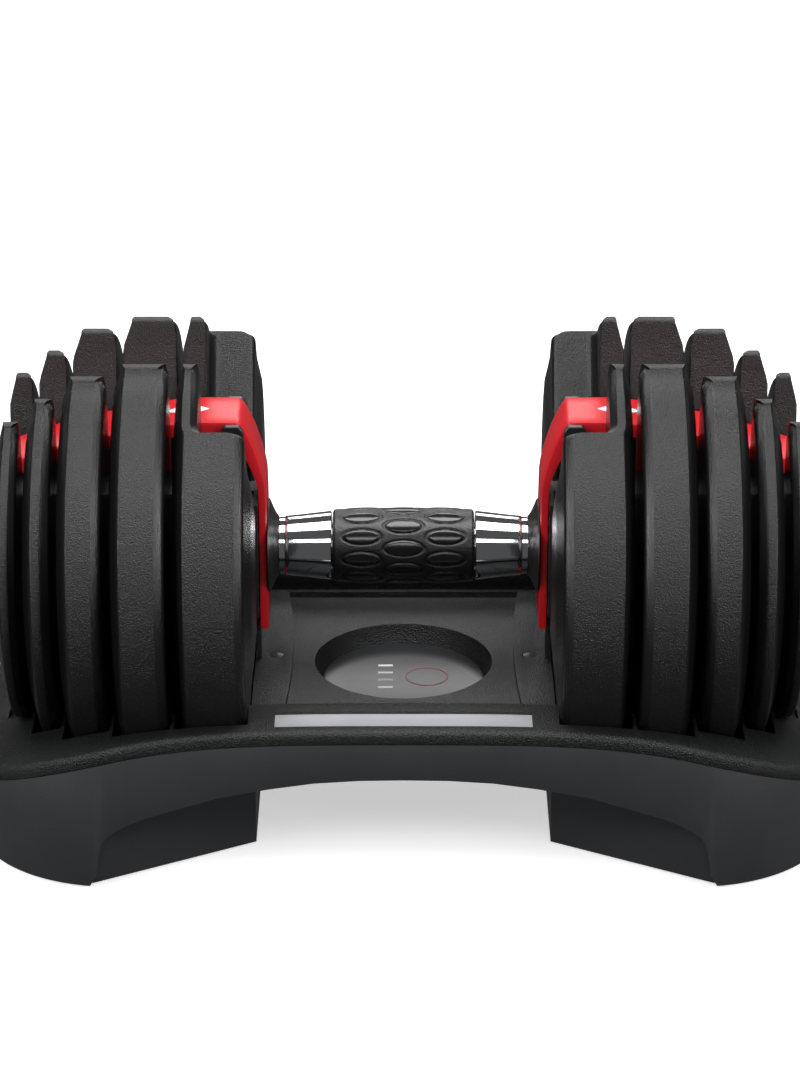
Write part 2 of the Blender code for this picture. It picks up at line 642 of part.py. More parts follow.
def build_plates():
    """Casings with their lift tabs, and the steel cores inside them."""
    slot = slot_tool("plate slot", SLOT_R)
    wide_slot = slot_tool("pocket slot", SLOT_R + CASING_WALL)
    core_slot = slot_tool("core slot", SLOT_R + CASING_WALL + CORE_GAP)
    pieces = []
    for index, (x0, x1, radius) in enumerate(PLACES):
        name = f"plate_{index + 1}_casing_right"
        rim = [(SLOT_R, x0), (radius, x0), (radius, x1 - PLATE_BEVEL_AXIAL),
               (radius - PLATE_BEVEL_RADIAL, x1), (SLOT_R, x1)]
        casing = add_piece(name, turned_mesh(name, rim), "black plate", ON_AXIS)
        pocket_in, pocket_out = SLOT_R + CASING_WALL, radius - CASING_RIM
        pocket_end = x1 - CASING_FACES[index]
        pocket = add_cutter(f"pocket {index + 1}", turned_mesh(f"pocket {index + 1}", [
            (pocket_in, x0 - 1 * MM), (pocket_out, x0 - 1 * MM), (pocket_out, pocket_end),
            (pocket_in, pocket_end)]), ON_AXIS)
        cut(pocket, wide_slot)
        cut(casing, slot, pocket)
        web, _ = disc_place(index)
        tab_end = web - RIM_LENGTH - TAB_PLAY
        tab = add_cutter(f"tab {index + 1}", box_mesh(f"tab {index + 1}", (
            (tab_end - TAB_THICKNESS, -TAB_HALF_WIDTH, -SLOT_R - CASING_WALL / 2),
            (tab_end, TAB_HALF_WIDTH, -HOOK_IN_R))), ON_AXIS)
        hook = add_cutter(f"hook {index + 1}", box_mesh(f"hook {index + 1}", (
            (tab_end - TAB_THICKNESS / 2, -TAB_HALF_WIDTH + 0.2 * MM, -HOOK_OUT_R),
            (web - TAB_PLAY * 2, TAB_HALF_WIDTH - 0.2 * MM, -HOOK_IN_R - 0.2 * MM))), ON_AXIS)
        join(casing, tab, hook)
        core_name = f"plate_{index + 1}_core_right"
        core = add_piece(core_name, turned_mesh(core_name, [
            (pocket_in + CORE_GAP, x0 + FIT), (pocket_out - CORE_GAP, x0 + FIT),
            (pocket_out - CORE_GAP, pocket_end - FIT), (pocket_in + CORE_GAP, pocket_end - FIT)],
            steps=CORE_STEPS), "steel", ON_AXIS)
        cut(core, core_slot)
        if index == 0:
            notch = notch_tool("plate notch", 0.0, x0 + NOTCH_DEPTH)
            deep_notch = notch_tool("pocket notch", CASING_WALL, x1)
            core_notch = notch_tool("core notch", CASING_WALL + CORE_GAP, x1)
            cut(pocket, deep_notch)
            cut(casing, notch)
            cut(core, core_notch)
        pieces += [casing, core]
    return pieces


# ---------------------------------------------------------------- tray

def rim_height(x):
    """Height of the tray's top edge at a distance along the handle."""
    flat_end = PLATES_X1
    return TRAY_TOP - TRAY_FALL * (abs(x) / flat_end) ** TRAY_FALL_POWER


def plan_outline(inset=0.0):
    """Outline of the tray from above: straight sides and elliptical corners."""
    corner_x = TRAY_END - CORNER_LENGTH
    corner_y = TRAY_HALF_DEPTH - CORNER_DEPTH
    radii = (CORNER_LENGTH - inset, CORNER_DEPTH - inset)
    points = []
    for sx, sy, start in ((1, 1, 0), (-1, 1, 90), (-1, -1, 180), (1, -1, 270)):
        points += arc((sx * corner_x, sy * corner_y), radii, start, start + 90, 5)
    return points


def band_tool(name, low_drop, high_drop):
    """Solid across the tray between two lines at set drops below the rim; None means far away."""
    count = 14
    reach = 1.05
    xs = [TRAY_END * reach * (-1 + 2 * i / count) for i in range(count + 1)]
    far_low, far_high = -10 * MM, AXIS_Z * 2
    low = [(x, far_low if low_drop is None else rim_height(x) - low_drop) for x in xs]
    high = [(x, far_high if high_drop is None else rim_height(x) - high_drop) for x in xs]
    if low_drop is None:
        low = [low[0], low[-1]]
    if high_drop is None:
        high = [high[0], high[-1]]
    reach_y = TRAY_HALF_DEPTH * reach
    return add_cutter(name, outline_mesh(name, low + high[::-1], -reach_y, reach_y, "XZ"))


def well_profile(grow, ribs):
    """Stepped profile of the plate wells, in (radius, x)."""
    points = [(AXLE_R, WELL_X0 - grow)]
    for index, (x0, x1, radius) in enumerate(PLACES):
        well_r = radius + WELL_RADIAL + grow
        start = x0 - WELL_SIDE - (grow if index == 0 else 0)
        stop = x1 + WELL_SIDE + grow
        if index and not ribs:
            start = PLACES[index - 1][1] + WELL_SIDE + grow
        points += [(well_r, start), (well_r, stop)]
        if ribs and index < len(PLACES) - 1:
            rib_r = PLACES[index + 1][2] - WELL_RIB_DEPTH
            next_start = PLACES[index + 1][0] - WELL_SIDE
            points += [(rib_r, stop), (rib_r, next_start)]
    points.append((AXLE_R, WELL_X1 + grow))
    return points


def well_tools(name, grow, ribs):
    """The wells' solids on both sides."""
    right = add_cutter(f"{name} right", turned_mesh(f"{name} right", well_profile(grow, ribs)), ON_AXIS)
    left_mesh = evaluated_mesh(right)
    left_mesh.transform(Matrix.Diagonal((-1, 1, 1, 1)))
    left_mesh.flip_normals()
    return right, add_cutter(f"{name} left", left_mesh, ON_AXIS)


def platform_outline():
    """Waisted outline of the platform between the heads."""
    half = []
    for i in range(7):
        share = -1 + 2 * i / 6
        half.append((BASIN_X - PLATFORM_MARGIN - PLATFORM_WAIST * (1 - share * share),
                     PLATFORM_HALF_DEPTH * share))
    return half + [(-x, -y) for x, y in half]


def rod_tool(name, radius, x, y, low, high, sides=16):
    """Upright round cutter."""
    return add_cutter(name, rod_mesh(name, radius, (x, y, low), (x, y, high), sides))


def build_deck():
    """Black top of the tray, with its basin, platform, dish, wells and lock posts."""
    above = band_tool("above the rim", 0.0, None)
    slab_zone = band_tool("rim band", BAND, 0.0)
    deck = add_piece("tray_deck", outline_mesh("tray_deck", plan_outline(), 0.0, TRAY_TOP, "XY"), "black shell")
    combine(deck, slab_zone, "INTERSECT")
    block_top = TRAY_TOP - BAND / 2
    basin_block = add_cutter("basin block", box_mesh("basin block", (
        (-BASIN_X - 1 * MM, -BASIN_HALF_DEPTH - WELL_SHELL, BASIN_Z - BASIN_FLOOR),
        (BASIN_X + 1 * MM, BASIN_HALF_DEPTH + WELL_SHELL, block_top))))
    dish_block = rod_tool("dish block", DISH_R + DISH_SHELL, 0, 0, DISH_Z - DISH_SHELL, BASIN_Z - 1 * MM, 28)
    shells = well_tools("well shell", WELL_SHELL, False)
    wells = well_tools("well", 0.0, True)
    join(deck, basin_block, dish_block, *shells)
    basin = add_cutter("basin", box_mesh("basin", (
        (-WELL_X0 - 1 * MM, -BASIN_HALF_DEPTH, BASIN_Z), (WELL_X0 + 1 * MM, BASIN_HALF_DEPTH, TRAY_TOP * 2))))
    platform = add_cutter("platform", outline_mesh(
        "platform", platform_outline(), PLATFORM_Z, TRAY_TOP * 2, "XY"))
    dish_profile = [(0, DISH_Z), (DISH_FLOOR_R, DISH_Z), (DISH_R, PLATFORM_Z + 0.5 * MM),
                    (DISH_R, TRAY_TOP), (0, TRAY_TOP)]
    dish = add_cutter("dish", turned_mesh("dish", dish_profile, "Z", closed=False))
    cut(deck, above, *wells, basin, platform, dish)
    post_top = AXIS_Z - SLIDE_FOOT - FIT
    posts = []
    holes = []
    for side in (-1, 1):
        ends = sorted((side * WHEEL_X0, side * WHEEL_X1))
        posts.append(((ends[0], -POST_HALF_WIDTH, BASIN_Z - 3 * MM), (ends[1], POST_HALF_WIDTH, post_top)))
        x = side * DECK_SCREW_X
        holes.append(rod_tool(f"screw seat {side}", DECK_SCREW_R + FIT, x, 0, BASIN_Z - 1.6 * MM, BASIN_Z + 5 * MM))
        holes.append(rod_tool(f"screw hole {side}", DECK_SHANK_R + FIT, x, 0, ROOF_BOTTOM - 5 * MM, BASIN_Z, 12))
    join(deck, add_cutter("lock posts", box_mesh("lock posts", *posts)))
    cut(deck, *holes)
    insert_r = DISH_FLOOR_R - 0.8 * MM
    add_piece("dish_insert", rod_mesh("dish_insert", insert_r, (0, 0, DISH_Z + FIT),
                                      (0, 0, DISH_Z + FIT + DISH_INSERT), 28), "dark disc")
    return holes


def build_base(screw_holes):
    """Grey lower shell of the tray: skirt, pods, tunnel roof and the arches at front and back."""
    top = band_tool("above the seam", BAND + FIT, None)
    base = add_piece("tray_base", outline_mesh(
        "tray_base", plan_outline(), BASE_BOTTOM, TRAY_TOP, "XY"), "grey shell")
    inner = add_cutter("inner plan", outline_mesh(
        "inner plan", plan_outline(BASE_WALL), -5 * MM, TRAY_TOP * 2, "XY"))
    front = TRAY_HALF_DEPTH - BASE_WALL
    outer_x = POD_OUTER_X
    pod_outline = [(POD_INNER_X, -POD_INNER_Y), (outer_x, -front), (outer_x, -front - 9 * MM),
                   (TRAY_END + 9 * MM, -front - 9 * MM), (TRAY_END + 9 * MM, front + 9 * MM),
                   (outer_x, front + 9 * MM), (outer_x, front), (POD_INNER_X, POD_INNER_Y)]
    floor_z = BASE_BOTTOM + BASE_FLOOR
    pods = []
    for side in (-1, 1):
        outline = [(side * x, y) for x, y in pod_outline]
        pod = add_cutter(f"pod {side}", outline_mesh(f"pod {side}", outline, floor_z, TRAY_TOP * 2, "XY"))
        combine(pod, inner, "INTERSECT")
        pods.append(pod)
    void_inner = POD_INNER_X - POD_WALL
    void = [(-outer_x + POD_WALL, -front), (outer_x - POD_WALL, -front), (void_inner, -POD_INNER_Y - POD_WALL / 2),
            (void_inner, POD_INNER_Y + POD_WALL / 2), (outer_x - POD_WALL, front),
            (-outer_x + POD_WALL, front), (-void_inner, POD_INNER_Y + POD_WALL / 2),
            (-void_inner, -POD_INNER_Y - POD_WALL / 2)]
    roof_top = BASIN_Z - BASIN_FLOOR - FIT
    tunnel = add_cutter("tunnel", outline_mesh("tunnel", void, -5 * MM, ROOF_BOTTOM, "XY"))
    over_roof = add_cutter("over the roof", outline_mesh("over the roof", void, roof_top, TRAY_TOP * 2, "XY"))
    arch_line = [(-share * outer_x, z * MM) for share, z in reversed(ARCH[1:])]
    arch_line += [(share * outer_x, z * MM) for share, z in ARCH]
    arches = []
    for side in (-1, 1):
        ends = sorted((side * (front - 0.5 * MM), side * (front + 9 * MM)))
        arches.append(add_cutter(f"arch {side}", outline_mesh(f"arch {side}", arch_line, *ends, "XZ")))
    room = well_tools("well room", WELL_SHELL + 2 * FIT, False)
    dish_room = rod_tool("dish room", DISH_R + DISH_SHELL + 1 * MM, 0, 0, 0, TRAY_TOP, 28)
    cut(base, top, *pods, tunnel, over_roof, *arches, *room, dish_room, *screw_holes)
    for side_x in (-1, 1):
        for side_y in (-1, 1):
            x, y = side_x * PAD_X, side_y * PAD_Y
            name = f"foot_{'front' if side_y < 0 else 'rear'}_{'left' if side_x < 0 else 'right'}"
            add_piece(name, rod_mesh(name, PAD_R, (x, y, 0), (x, y, PAD_HEIGHT), 20), "rubber")
            cut(base, rod_tool(f"{name} seat", PAD_R + 2 * FIT, x, y, -5 * MM, PAD_HEIGHT + FIT, 20))
    for side, word in ((-1, "left"), (1, "right")):
        seat = BASIN_Z - 1.6 * MM + FIT
        profile = [(0, ROOF_BOTTOM + 1 * MM), (DECK_SHANK_R, ROOF_BOTTOM + 1 * MM), (DECK_SHANK_R, seat),
                   (DECK_SCREW_R, seat), (DECK_SCREW_R, BASIN_Z), (0, BASIN_Z + 0.6 * MM)]
        name = f"deck_screw_{word}"
        add_piece(name, turned_mesh(name, profile, "Z", 12, closed=False), "steel", (side * DECK_SCREW_X, 0, 0))


def main():
    """Build every piece."""
    right = build_handle()
    right.append(build_cover())
    right += build_lock()
    right += build_dial()
    right.append(build_sleeve())
    right += build_discs()
    right += build_plates()
    for piece in right:
        reflect_left(piece)
    build_base(build_deck())


for old in list(bpy.data.objects):
    bpy.data.objects.remove(old)
PIECES = make_collection("adjustable_dumbbell")
CUTTERS = make_collection("cutters")
main()
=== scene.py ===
"""Looks of an adjustable dumbbell in its cradle tray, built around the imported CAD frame.

World frame in metres: origin on the floor under the middle of the handle, X along the
handle, -Y towards the front, +Z up.  Sizes in the classes are in millimetres, and a
section's heights are over the handle's axis.  Right-hand pieces are worked out and
reflected to the left.
"""
from __future__ import annotations

import logging
import math
from dataclasses import dataclass
from enum import Enum
from typing import Callable, Iterable, Sequence

import bmesh
import bpy
import numpy as np
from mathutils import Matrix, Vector


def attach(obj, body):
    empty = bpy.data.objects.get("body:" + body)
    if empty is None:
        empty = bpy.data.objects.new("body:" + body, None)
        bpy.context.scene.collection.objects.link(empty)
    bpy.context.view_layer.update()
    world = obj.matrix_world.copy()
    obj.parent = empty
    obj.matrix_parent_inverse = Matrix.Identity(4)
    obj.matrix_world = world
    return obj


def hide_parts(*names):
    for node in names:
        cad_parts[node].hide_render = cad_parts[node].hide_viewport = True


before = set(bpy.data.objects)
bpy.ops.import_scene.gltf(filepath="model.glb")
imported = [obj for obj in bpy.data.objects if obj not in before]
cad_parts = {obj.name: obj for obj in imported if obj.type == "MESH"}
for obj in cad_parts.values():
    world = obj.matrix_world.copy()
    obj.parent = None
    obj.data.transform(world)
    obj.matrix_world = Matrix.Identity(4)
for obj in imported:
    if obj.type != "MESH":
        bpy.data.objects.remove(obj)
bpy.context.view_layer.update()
LOG = logging.getLogger("dumbbell")

MM = 0.001
AXIS_Z = 124.0
PLATES = ((70.0, 102.0, 105.5), (105.0, 130.0, 105.5), (133.0, 153.5, 100.0),
          (156.5, 169.5, 90.0), (172.5, 183.5, 80.0))
SLOT_R = 29.0
COVER_HALF = 17.0
LABELS = ("5", "7.5", "10", "12.5", "15", "17.5", "20", "22.5", "25", "30", "35", "40", "45",
          "50", "52.5")
# Distances in metres under which points and edges of one surface are the same.
SAME_POINT = 2e-6
NO_EDGE = 1e-6


class Side(Enum):
    """Head of the dumbbell, with the sign of its X."""

    RIGHT = 1
    LEFT = -1

    @property
    def word(self) -> str:
        """Ending of the side's node and body names."""
        return self.name.lower()


class Axis(Enum):
    """Axis that a turned piece goes round."""

    HANDLE = "handle"
    UPRIGHT = "upright"


class Carve(Enum):
    """How one solid changes another."""

    CUT = "DIFFERENCE"
    JOIN = "UNION"
    KEEP = "INTERSECT"


# ---------------------------------------------------------------- meshes

def smooth_step(values: np.ndarray, low: float, high: float) -> np.ndarray:
    """Share s from 0 at low to 1 at high, eased as three s squared less two s cubed."""
    share = np.clip((values - low) / (high - low), 0, 1)
    return share * share * (3 - 2 * share)


def grid_faces(rows: int, columns: int, round_columns: bool = False) -> np.ndarray:
    """Quads of a grid of points numbered row by row.

    Args:
        rows: Number of rows.
        columns: Number of points in a row.
        round_columns: Whether the last column joins the first.

    Returns:
        Array of four point numbers a face.
    """
    row = np.arange(rows - 1)[:, None] * columns
    column = np.arange(columns if round_columns else columns - 1)[None, :]
    after = (column + 1) % columns
    corners = (row + column, row + after, row + columns + after, row + columns + column)
    return np.stack(corners, axis=-1).reshape(-1, 4)


def capped_faces(rows: int, columns: int) -> list[list[int]]:
    """Faces of a tube of round rows, closed by one face at its first and its last row."""
    ends = [list(range(columns)), list(range(rows * columns - 1, (rows - 1) * columns - 1, -1))]
    return grid_faces(rows, columns, True).tolist() + ends


def solid_mesh(name: str, points: np.ndarray, faces: Iterable[Sequence[int]],
               sharp: float = 32.0) -> bpy.types.Mesh:
    """Closed mesh with its seams merged and its faces outwards.

    Args:
        name: Name of the mesh.
        points: Points in millimetres, in the world frame.
        faces: Point numbers of each face.
        sharp: Angle in degrees over which an edge stays crisp.

    Returns:
        The mesh, smooth shaded between its crisp edges.
    """
    mesh = bpy.data.meshes.new(name)
    rows = faces.tolist() if isinstance(faces, np.ndarray) else [list(face) for face in faces]
    mesh.from_pydata((points.reshape(-1, 3) * MM).tolist(), [], rows)
    body = bmesh.new()
    body.from_mesh(mesh)
    bmesh.ops.remove_doubles(body, verts=body.verts, dist=SAME_POINT)
    bmesh.ops.dissolve_degenerate(body, edges=body.edges, dist=NO_EDGE)
    bmesh.ops.recalc_face_normals(body, faces=body.faces)
    body.to_mesh(mesh)
    body.free()
    shade(mesh, sharp)
    return mesh


def shade(mesh: bpy.types.Mesh, sharp: float) -> None:
    """Smooth shading with crisp edges over an angle in degrees."""
    mesh.polygons.foreach_set("use_smooth", np.ones(len(mesh.polygons), dtype=bool))
    mesh.set_sharp_from_angle(angle=math.radians(sharp))


def reflected(points: np.ndarray, side: Side) -> np.ndarray:
    """Points of the right side, or their mirror image for the left."""
    return points * np.array([side.value, 1.0, 1.0])


def turned(name: str, profile: Sequence[tuple[float, float]], steps: int, axis: Axis,
           side: Side = Side.RIGHT, centre: tuple[float, float] = (0.0, 0.0)) -> bpy.types.Mesh:
    """Turned solid: each (radius, place) goes round the axis in equal angles.

    Args:
        name: Name of the mesh.
        profile: Radius and place along the axis; a profile off the axis closes on itself.
        steps: Points round the axis.
        axis: The handle's axis or an upright one.
        side: Which head it is for.
        centre: Place of an upright axis from above.

    Returns:
        The mesh.
    """
    line = np.array(profile, dtype=float)
    if line[0, 0] > 0 or line[-1, 0] > 0:
        line = np.vstack([line, line[:1]])
    angle = np.linspace(0, math.tau, steps, endpoint=False)
    across = line[:, 0:1] * np.cos(angle)
    over = line[:, 0:1] * np.sin(angle)
    along = np.repeat(line[:, 1:2], steps, axis=1)
    if axis is Axis.HANDLE:
        points = np.stack([along, across, over + AXIS_Z], axis=-1)
    else:
        points = np.stack([across + centre[0], over + centre[1], along], axis=-1)
    return solid_mesh(name, reflected(points, side), grid_faces(len(line), steps, True))


def prism(name: str, outline: np.ndarray, low: float, high: float, plane: str = "XY",
          sharp: float = 32.0) -> bpy.types.Mesh:
    """Solid between two copies of an outline, moved along the plane's third axis.

    Args:
        name: Name of the mesh.
        outline: Corners in the plane.
        low: Place of one face.
        high: Place of the other.
        plane: XY, XZ or YZ.
        sharp: Angle over which an edge stays crisp.

    Returns:
        The mesh.
    """
    flat = np.asarray(outline, dtype=float)
    count = len(flat)
    order = {"XY": (0, 1, 2), "XZ": (0, 2, 1), "YZ": (2, 0, 1)}[plane]
    ends = [np.column_stack([flat, np.full(count, level)])[:, order] for level in (low, high)]
    return solid_mesh(name, np.vstack(ends), capped_faces(2, count), sharp)


def block(name: str, low: Sequence[float], high: Sequence[float]) -> bpy.types.Mesh:
    """Rectangular solid between two corners in millimetres."""
    corners = [(low[0], low[1]), (high[0], low[1]), (high[0], high[1]), (low[0], high[1])]
    return prism(name, np.array(corners), low[2], high[2])


def arc(centre: tuple[float, float], radii: tuple[float, float], start: float, end: float,
        count: int) -> np.ndarray:
    """Points at even angles, in degrees, round an ellipse."""
    angle = np.radians(np.linspace(start, end, count + 1))
    return np.array(centre) + np.array(radii) * np.column_stack([np.cos(angle), np.sin(angle)])


def held(data: bpy.types.ID) -> bpy.types.Object:
    """New object in the scene that holds a mesh, a text, a lamp or a camera."""
    holder = bpy.data.objects.new(data.name, data)
    bpy.context.scene.collection.objects.link(holder)
    return holder


def final_mesh(holder: bpy.types.Object) -> bpy.types.Mesh:
    """Mesh of an object after its modifiers."""
    bpy.context.view_layer.update()
    return bpy.data.meshes.new_from_object(
        holder.evaluated_get(bpy.context.evaluated_depsgraph_get()))


def carved(base: bpy.types.Mesh, how: Carve, *tools: bpy.types.Mesh) -> bpy.types.Mesh:
    """Solid after one Boolean with each tool, applied at once.

    Args:
        base: The solid.
        how: Cut, join or keep.
        tools: Solids that change it, used up here.

    Returns:
        The new mesh.
    """
    holder = held(base)
    helpers = [held(tool) for tool in tools]
    for helper in helpers:
        step = holder.modifiers.new("carve", "BOOLEAN")
        step.operation, step.object, step.solver = how.value, helper, "EXACT"
    result = final_mesh(holder)
    result.name = base.name
    for thing in [holder, *helpers]:
        mesh = thing.data
        bpy.data.objects.remove(thing)
        bpy.data.meshes.remove(mesh)
    return result


def paint(mesh: bpy.types.Mesh, most: "MouldedPlastic", some: "MouldedPlastic",
          where: Callable[[np.ndarray], np.ndarray]) -> None:
    """Give a mesh one finish, and another where a test of its faces' centres holds.

    Args:
        mesh: The mesh.
        most: Finish of most faces.
        some: Finish of the faces that pass.
        where: Test of an array of centres in millimetres.
    """
    mesh.materials.clear()
    mesh.materials.append(most.material())
    mesh.materials.append(some.material())
    centres = np.empty(len(mesh.polygons) * 3)
    mesh.polygons.foreach_get("center", centres)
    chosen = where(centres.reshape(-1, 3) / MM)
    mesh.polygons.foreach_set("material_index", chosen.astype(np.int32))


def rounded_edges(mesh: bpy.types.Mesh, width: float, angle: float = 35.0) -> bpy.types.Mesh:
    """Roll over a mesh's crisp edges.

    Args:
        mesh: The mesh, used up here.
        width: Width of the bevel in millimetres.
        angle: Angle in degrees over which an edge is crisp.

    Returns:
        The new mesh.
    """
    holder = held(mesh)
    bevel = holder.modifiers.new("round", "BEVEL")
    bevel.width, bevel.segments = width * MM, 2
    bevel.limit_method, bevel.angle_limit = "ANGLE", math.radians(angle)
    result = final_mesh(holder)
    result.name = mesh.name
    bpy.data.objects.remove(holder)
    bpy.data.meshes.remove(mesh)
    return result


# ---------------------------------------------------------------- finishes

def linear(hex_colour: str) -> tuple[float, float, float, float]:
    """Linear colour of an sRGB hex value.

    Args:
        hex_colour: Six hex digits such as 1a1a1a.

    Returns:
        Linear red, green and blue, and full alpha.
    """
    parts = [int(hex_colour[i:i + 2], 16) / 255 for i in (0, 2, 4)]
    curve = [p / 12.92 if p <= 0.04045 else ((p + 0.055) / 1.055) ** 2.4 for p in parts]
    return (curve[0], curve[1], curve[2], 1.0)


def add_node(tree: bpy.types.NodeTree, kind: str, inputs: dict | None = None,
             **settings: object) -> bpy.types.Node:
    """Node with its settings, values and links.

    Args:
        tree: The material's or world's tree.
        kind: Blender's name of the node.
        inputs: Value or linked output of each input, by its name or number.
        settings: Values of the node's own properties.

    Returns:
        The node.
    """
    node = tree.nodes.new(kind)
    for key, value in settings.items():
        setattr(node, key, value)
    for key, value in (inputs or {}).items():
        if isinstance(value, bpy.types.NodeSocket):
            tree.links.new(value, node.inputs[key])
        else:
            node.inputs[key].default_value = value
    return node


def start_material(
        name: str) -> tuple[bpy.types.Material, bpy.types.NodeTree, bpy.types.NodeSocket]:
    """New material with an empty tree.

    Args:
        name: Name of the material.

    Returns:
        The material, its tree and the object's own coordinates in metres.
    """
    made = bpy.data.materials.new(name)
    made.use_nodes = True
    tree = made.node_tree
    tree.nodes.clear()
    place = add_node(tree, "ShaderNodeTexCoord")
    return made, tree, place.outputs["Object"]


def end_material(tree: bpy.types.NodeTree, shader: bpy.types.Node) -> None:
    """Link a shader to the material's output."""
    add_node(tree, "ShaderNodeOutputMaterial", {"Surface": shader.outputs[0]})


def grain(tree: bpy.types.NodeTree, place: bpy.types.NodeSocket, size_mm: float,
          detail: float = 2.0) -> bpy.types.NodeSocket:
    """Value noise whose specks are about a size in millimetres across."""
    noise = add_node(tree, "ShaderNodeTexNoise", {
        "Vector": place, "Scale": 1.0 / (2.0 * size_mm * MM), "Detail": detail, "Roughness": 0.6})
    return noise.outputs["Fac"]


def mapped(tree: bpy.types.NodeTree, value: bpy.types.NodeSocket, from_low: float,
           from_high: float, low: float, high: float) -> bpy.types.NodeSocket:
    """Value carried from one range to another and held inside it."""
    node = add_node(tree, "ShaderNodeMapRange", {
        "Value": value, "From Min": from_low, "From Max": from_high, "To Min": low,
        "To Max": high})
    return node.outputs["Result"]


@dataclass(frozen=True)
class MouldedPlastic:
    """Injection-moulded ABS or glass-filled nylon, with the grain of its mould.

    Attributes:
        name: Name of the material.
        colour: Base colour as sRGB hex.
        roughness: Roughness in the middle of its small variation.
        grain_mm: Width of the mould grain's specks.
        grain_depth: Strength of the grain's relief.
        handling: How much the roughness varies over a few centimetres.
        face_roughness: Roughness of the polished faces square to the handle, if they differ.
        reflection: Strength of the surface reflection, 0.5 for a plain moulding.
    """

    name: str
    colour: str
    roughness: float
    grain_mm: float = 0.7
    grain_depth: float = 0.12
    handling: float = 0.05
    face_roughness: float | None = None
    reflection: float = 0.5

    HANDLED_MM = 16.0
    FACE_TURN = (0.15, 0.6)
    FACE_GRAIN = 0.25
    TONES = (0.93, 1.07)

    def material(self) -> bpy.types.Material:
        """Material, made once.

        Fine noise is the mould's grain, and wide noise moves the roughness and the tone a
        little.  Where the surface turns square to the handle, the polished face's roughness
        takes over and the grain fades.

        Returns:
            The material.
        """
        if self.name in bpy.data.materials:
            return bpy.data.materials[self.name]
        made, tree, place = start_material(self.name)
        depth = grain(tree, place, self.grain_mm)
        wide = grain(tree, place, self.HANDLED_MM, 3.0)
        rough = mapped(tree, wide, 0.3, 0.7, self.roughness - self.handling,
                       self.roughness + self.handling)
        if self.face_roughness is not None:
            normal = add_node(tree, "ShaderNodeNewGeometry").outputs["Normal"]
            parts = add_node(tree, "ShaderNodeSeparateXYZ", {"Vector": normal})
            sideways = add_node(tree, "ShaderNodeMath", {0: parts.outputs["X"]},
                                operation="ABSOLUTE")
            share = mapped(tree, sideways.outputs[0], *self.FACE_TURN, 0.0, 1.0)
            rough = add_node(tree, "ShaderNodeMix", {
                "Factor": share, "A": rough, "B": self.face_roughness}).outputs["Result"]
            less = mapped(tree, share, 0.0, 1.0, 1.0, self.FACE_GRAIN)
            depth = add_node(tree, "ShaderNodeMath", {0: depth, 1: less},
                             operation="MULTIPLY").outputs[0]
        bump = add_node(tree, "ShaderNodeBump", {
            "Height": depth, "Strength": self.grain_depth, "Distance": MM})
        tone = mapped(tree, wide, 0.25, 0.75, *self.TONES)
        colour = add_node(tree, "ShaderNodeHueSaturation", {
            "Color": linear(self.colour), "Value": tone})
        shader = add_node(tree, "ShaderNodeBsdfPrincipled", {
            "Base Color": colour.outputs["Color"], "Roughness": rough, "IOR": 1.5,
            "Specular IOR Level": self.reflection, "Normal": bump.outputs["Normal"]})
        end_material(tree, shader)
        return made


@dataclass(frozen=True)
class Metal:
    """Plated or turned metal, whose fine lines run round the handle's axis.

    Attributes:
        name: Name of the material.
        colour: Reflectance as sRGB hex.
        roughness: Roughness.
        line_mm: Spacing of the turning lines.
        line_depth: Strength of their relief.
    """

    name: str
    colour: str
    roughness: float
    line_mm: float
    line_depth: float

    SMEAR_MM = 6.0
    STRETCH = (1.0, 0.04, 0.04)
    LINE_RELIEF = 0.3 * MM

    def material(self) -> bpy.types.Material:
        """Material, made once.

        Noise stretched round the handle makes the lines, and wider noise clouds the
        roughness.

        Returns:
            The material.
        """
        if self.name in bpy.data.materials:
            return bpy.data.materials[self.name]
        made, tree, place = start_material(self.name)
        smear = grain(tree, place, self.SMEAR_MM, 3.0)
        rough = mapped(tree, smear, 0.3, 0.7, self.roughness * 0.8, self.roughness * 1.25)
        stretch = add_node(tree, "ShaderNodeMapping", {"Vector": place, "Scale": self.STRETCH})
        lines = grain(tree, stretch.outputs["Vector"], self.line_mm)
        bump = add_node(tree, "ShaderNodeBump", {
            "Height": lines, "Strength": self.line_depth, "Distance": self.LINE_RELIEF})
        shader = add_node(tree, "ShaderNodeBsdfPrincipled", {
            "Base Color": linear(self.colour), "Metallic": 1.0, "Roughness": rough,
            "Normal": bump.outputs["Normal"]})
        end_material(tree, shader)
        return made


# Glass-filled nylon over iron, moulded with a spark-eroded grain on the rims and a polished
# face: deep black, soft light on the rims, tighter reflections on the faces.
PLATE_BLACK = MouldedPlastic("moulded nylon, grained rim", "0f0f10", 0.38, 0.36, 0.8, 0.04, 0.26)
# ABS with a leather-fine mould grain: near black with a soft, even sheen.
DECK_BLACK = MouldedPlastic("moulded ABS, fine grain", "121314", 0.42, 0.36, 0.8,
                            reflection=0.42)
# Acrylic disc laid into the dish: dark grey, with soft wide reflections.
DISH_GREY = MouldedPlastic("polished acrylic, grey", "1d1e20", 0.30, 1.5, 0.02, 0.03,
                           reflection=0.4)
# ABS of the deck's front and rear panels, painted light grey as a painted reflection of the soft
# boxes: flat and even, with a soft shine.
PANEL_PAINTED_REFLECTION = MouldedPlastic("moulded ABS, silver grey", "8a8b8e", 0.34, 1.5, 0.05, 0.03)
# Satin grey ABS of the lower shell: a broad soft highlight, no grain at arm's length.
SHELL_GREY = MouldedPlastic("moulded ABS, satin grey", "303134", 0.40, 0.6, 0.08, 0.03)
# Pigmented ABS with a satin mould: bright red, with a pale soft highlight.
COVER_RED = MouldedPlastic("moulded ABS, red satin", "b50f1a", 0.36, 0.7, 0.06, 0.04)
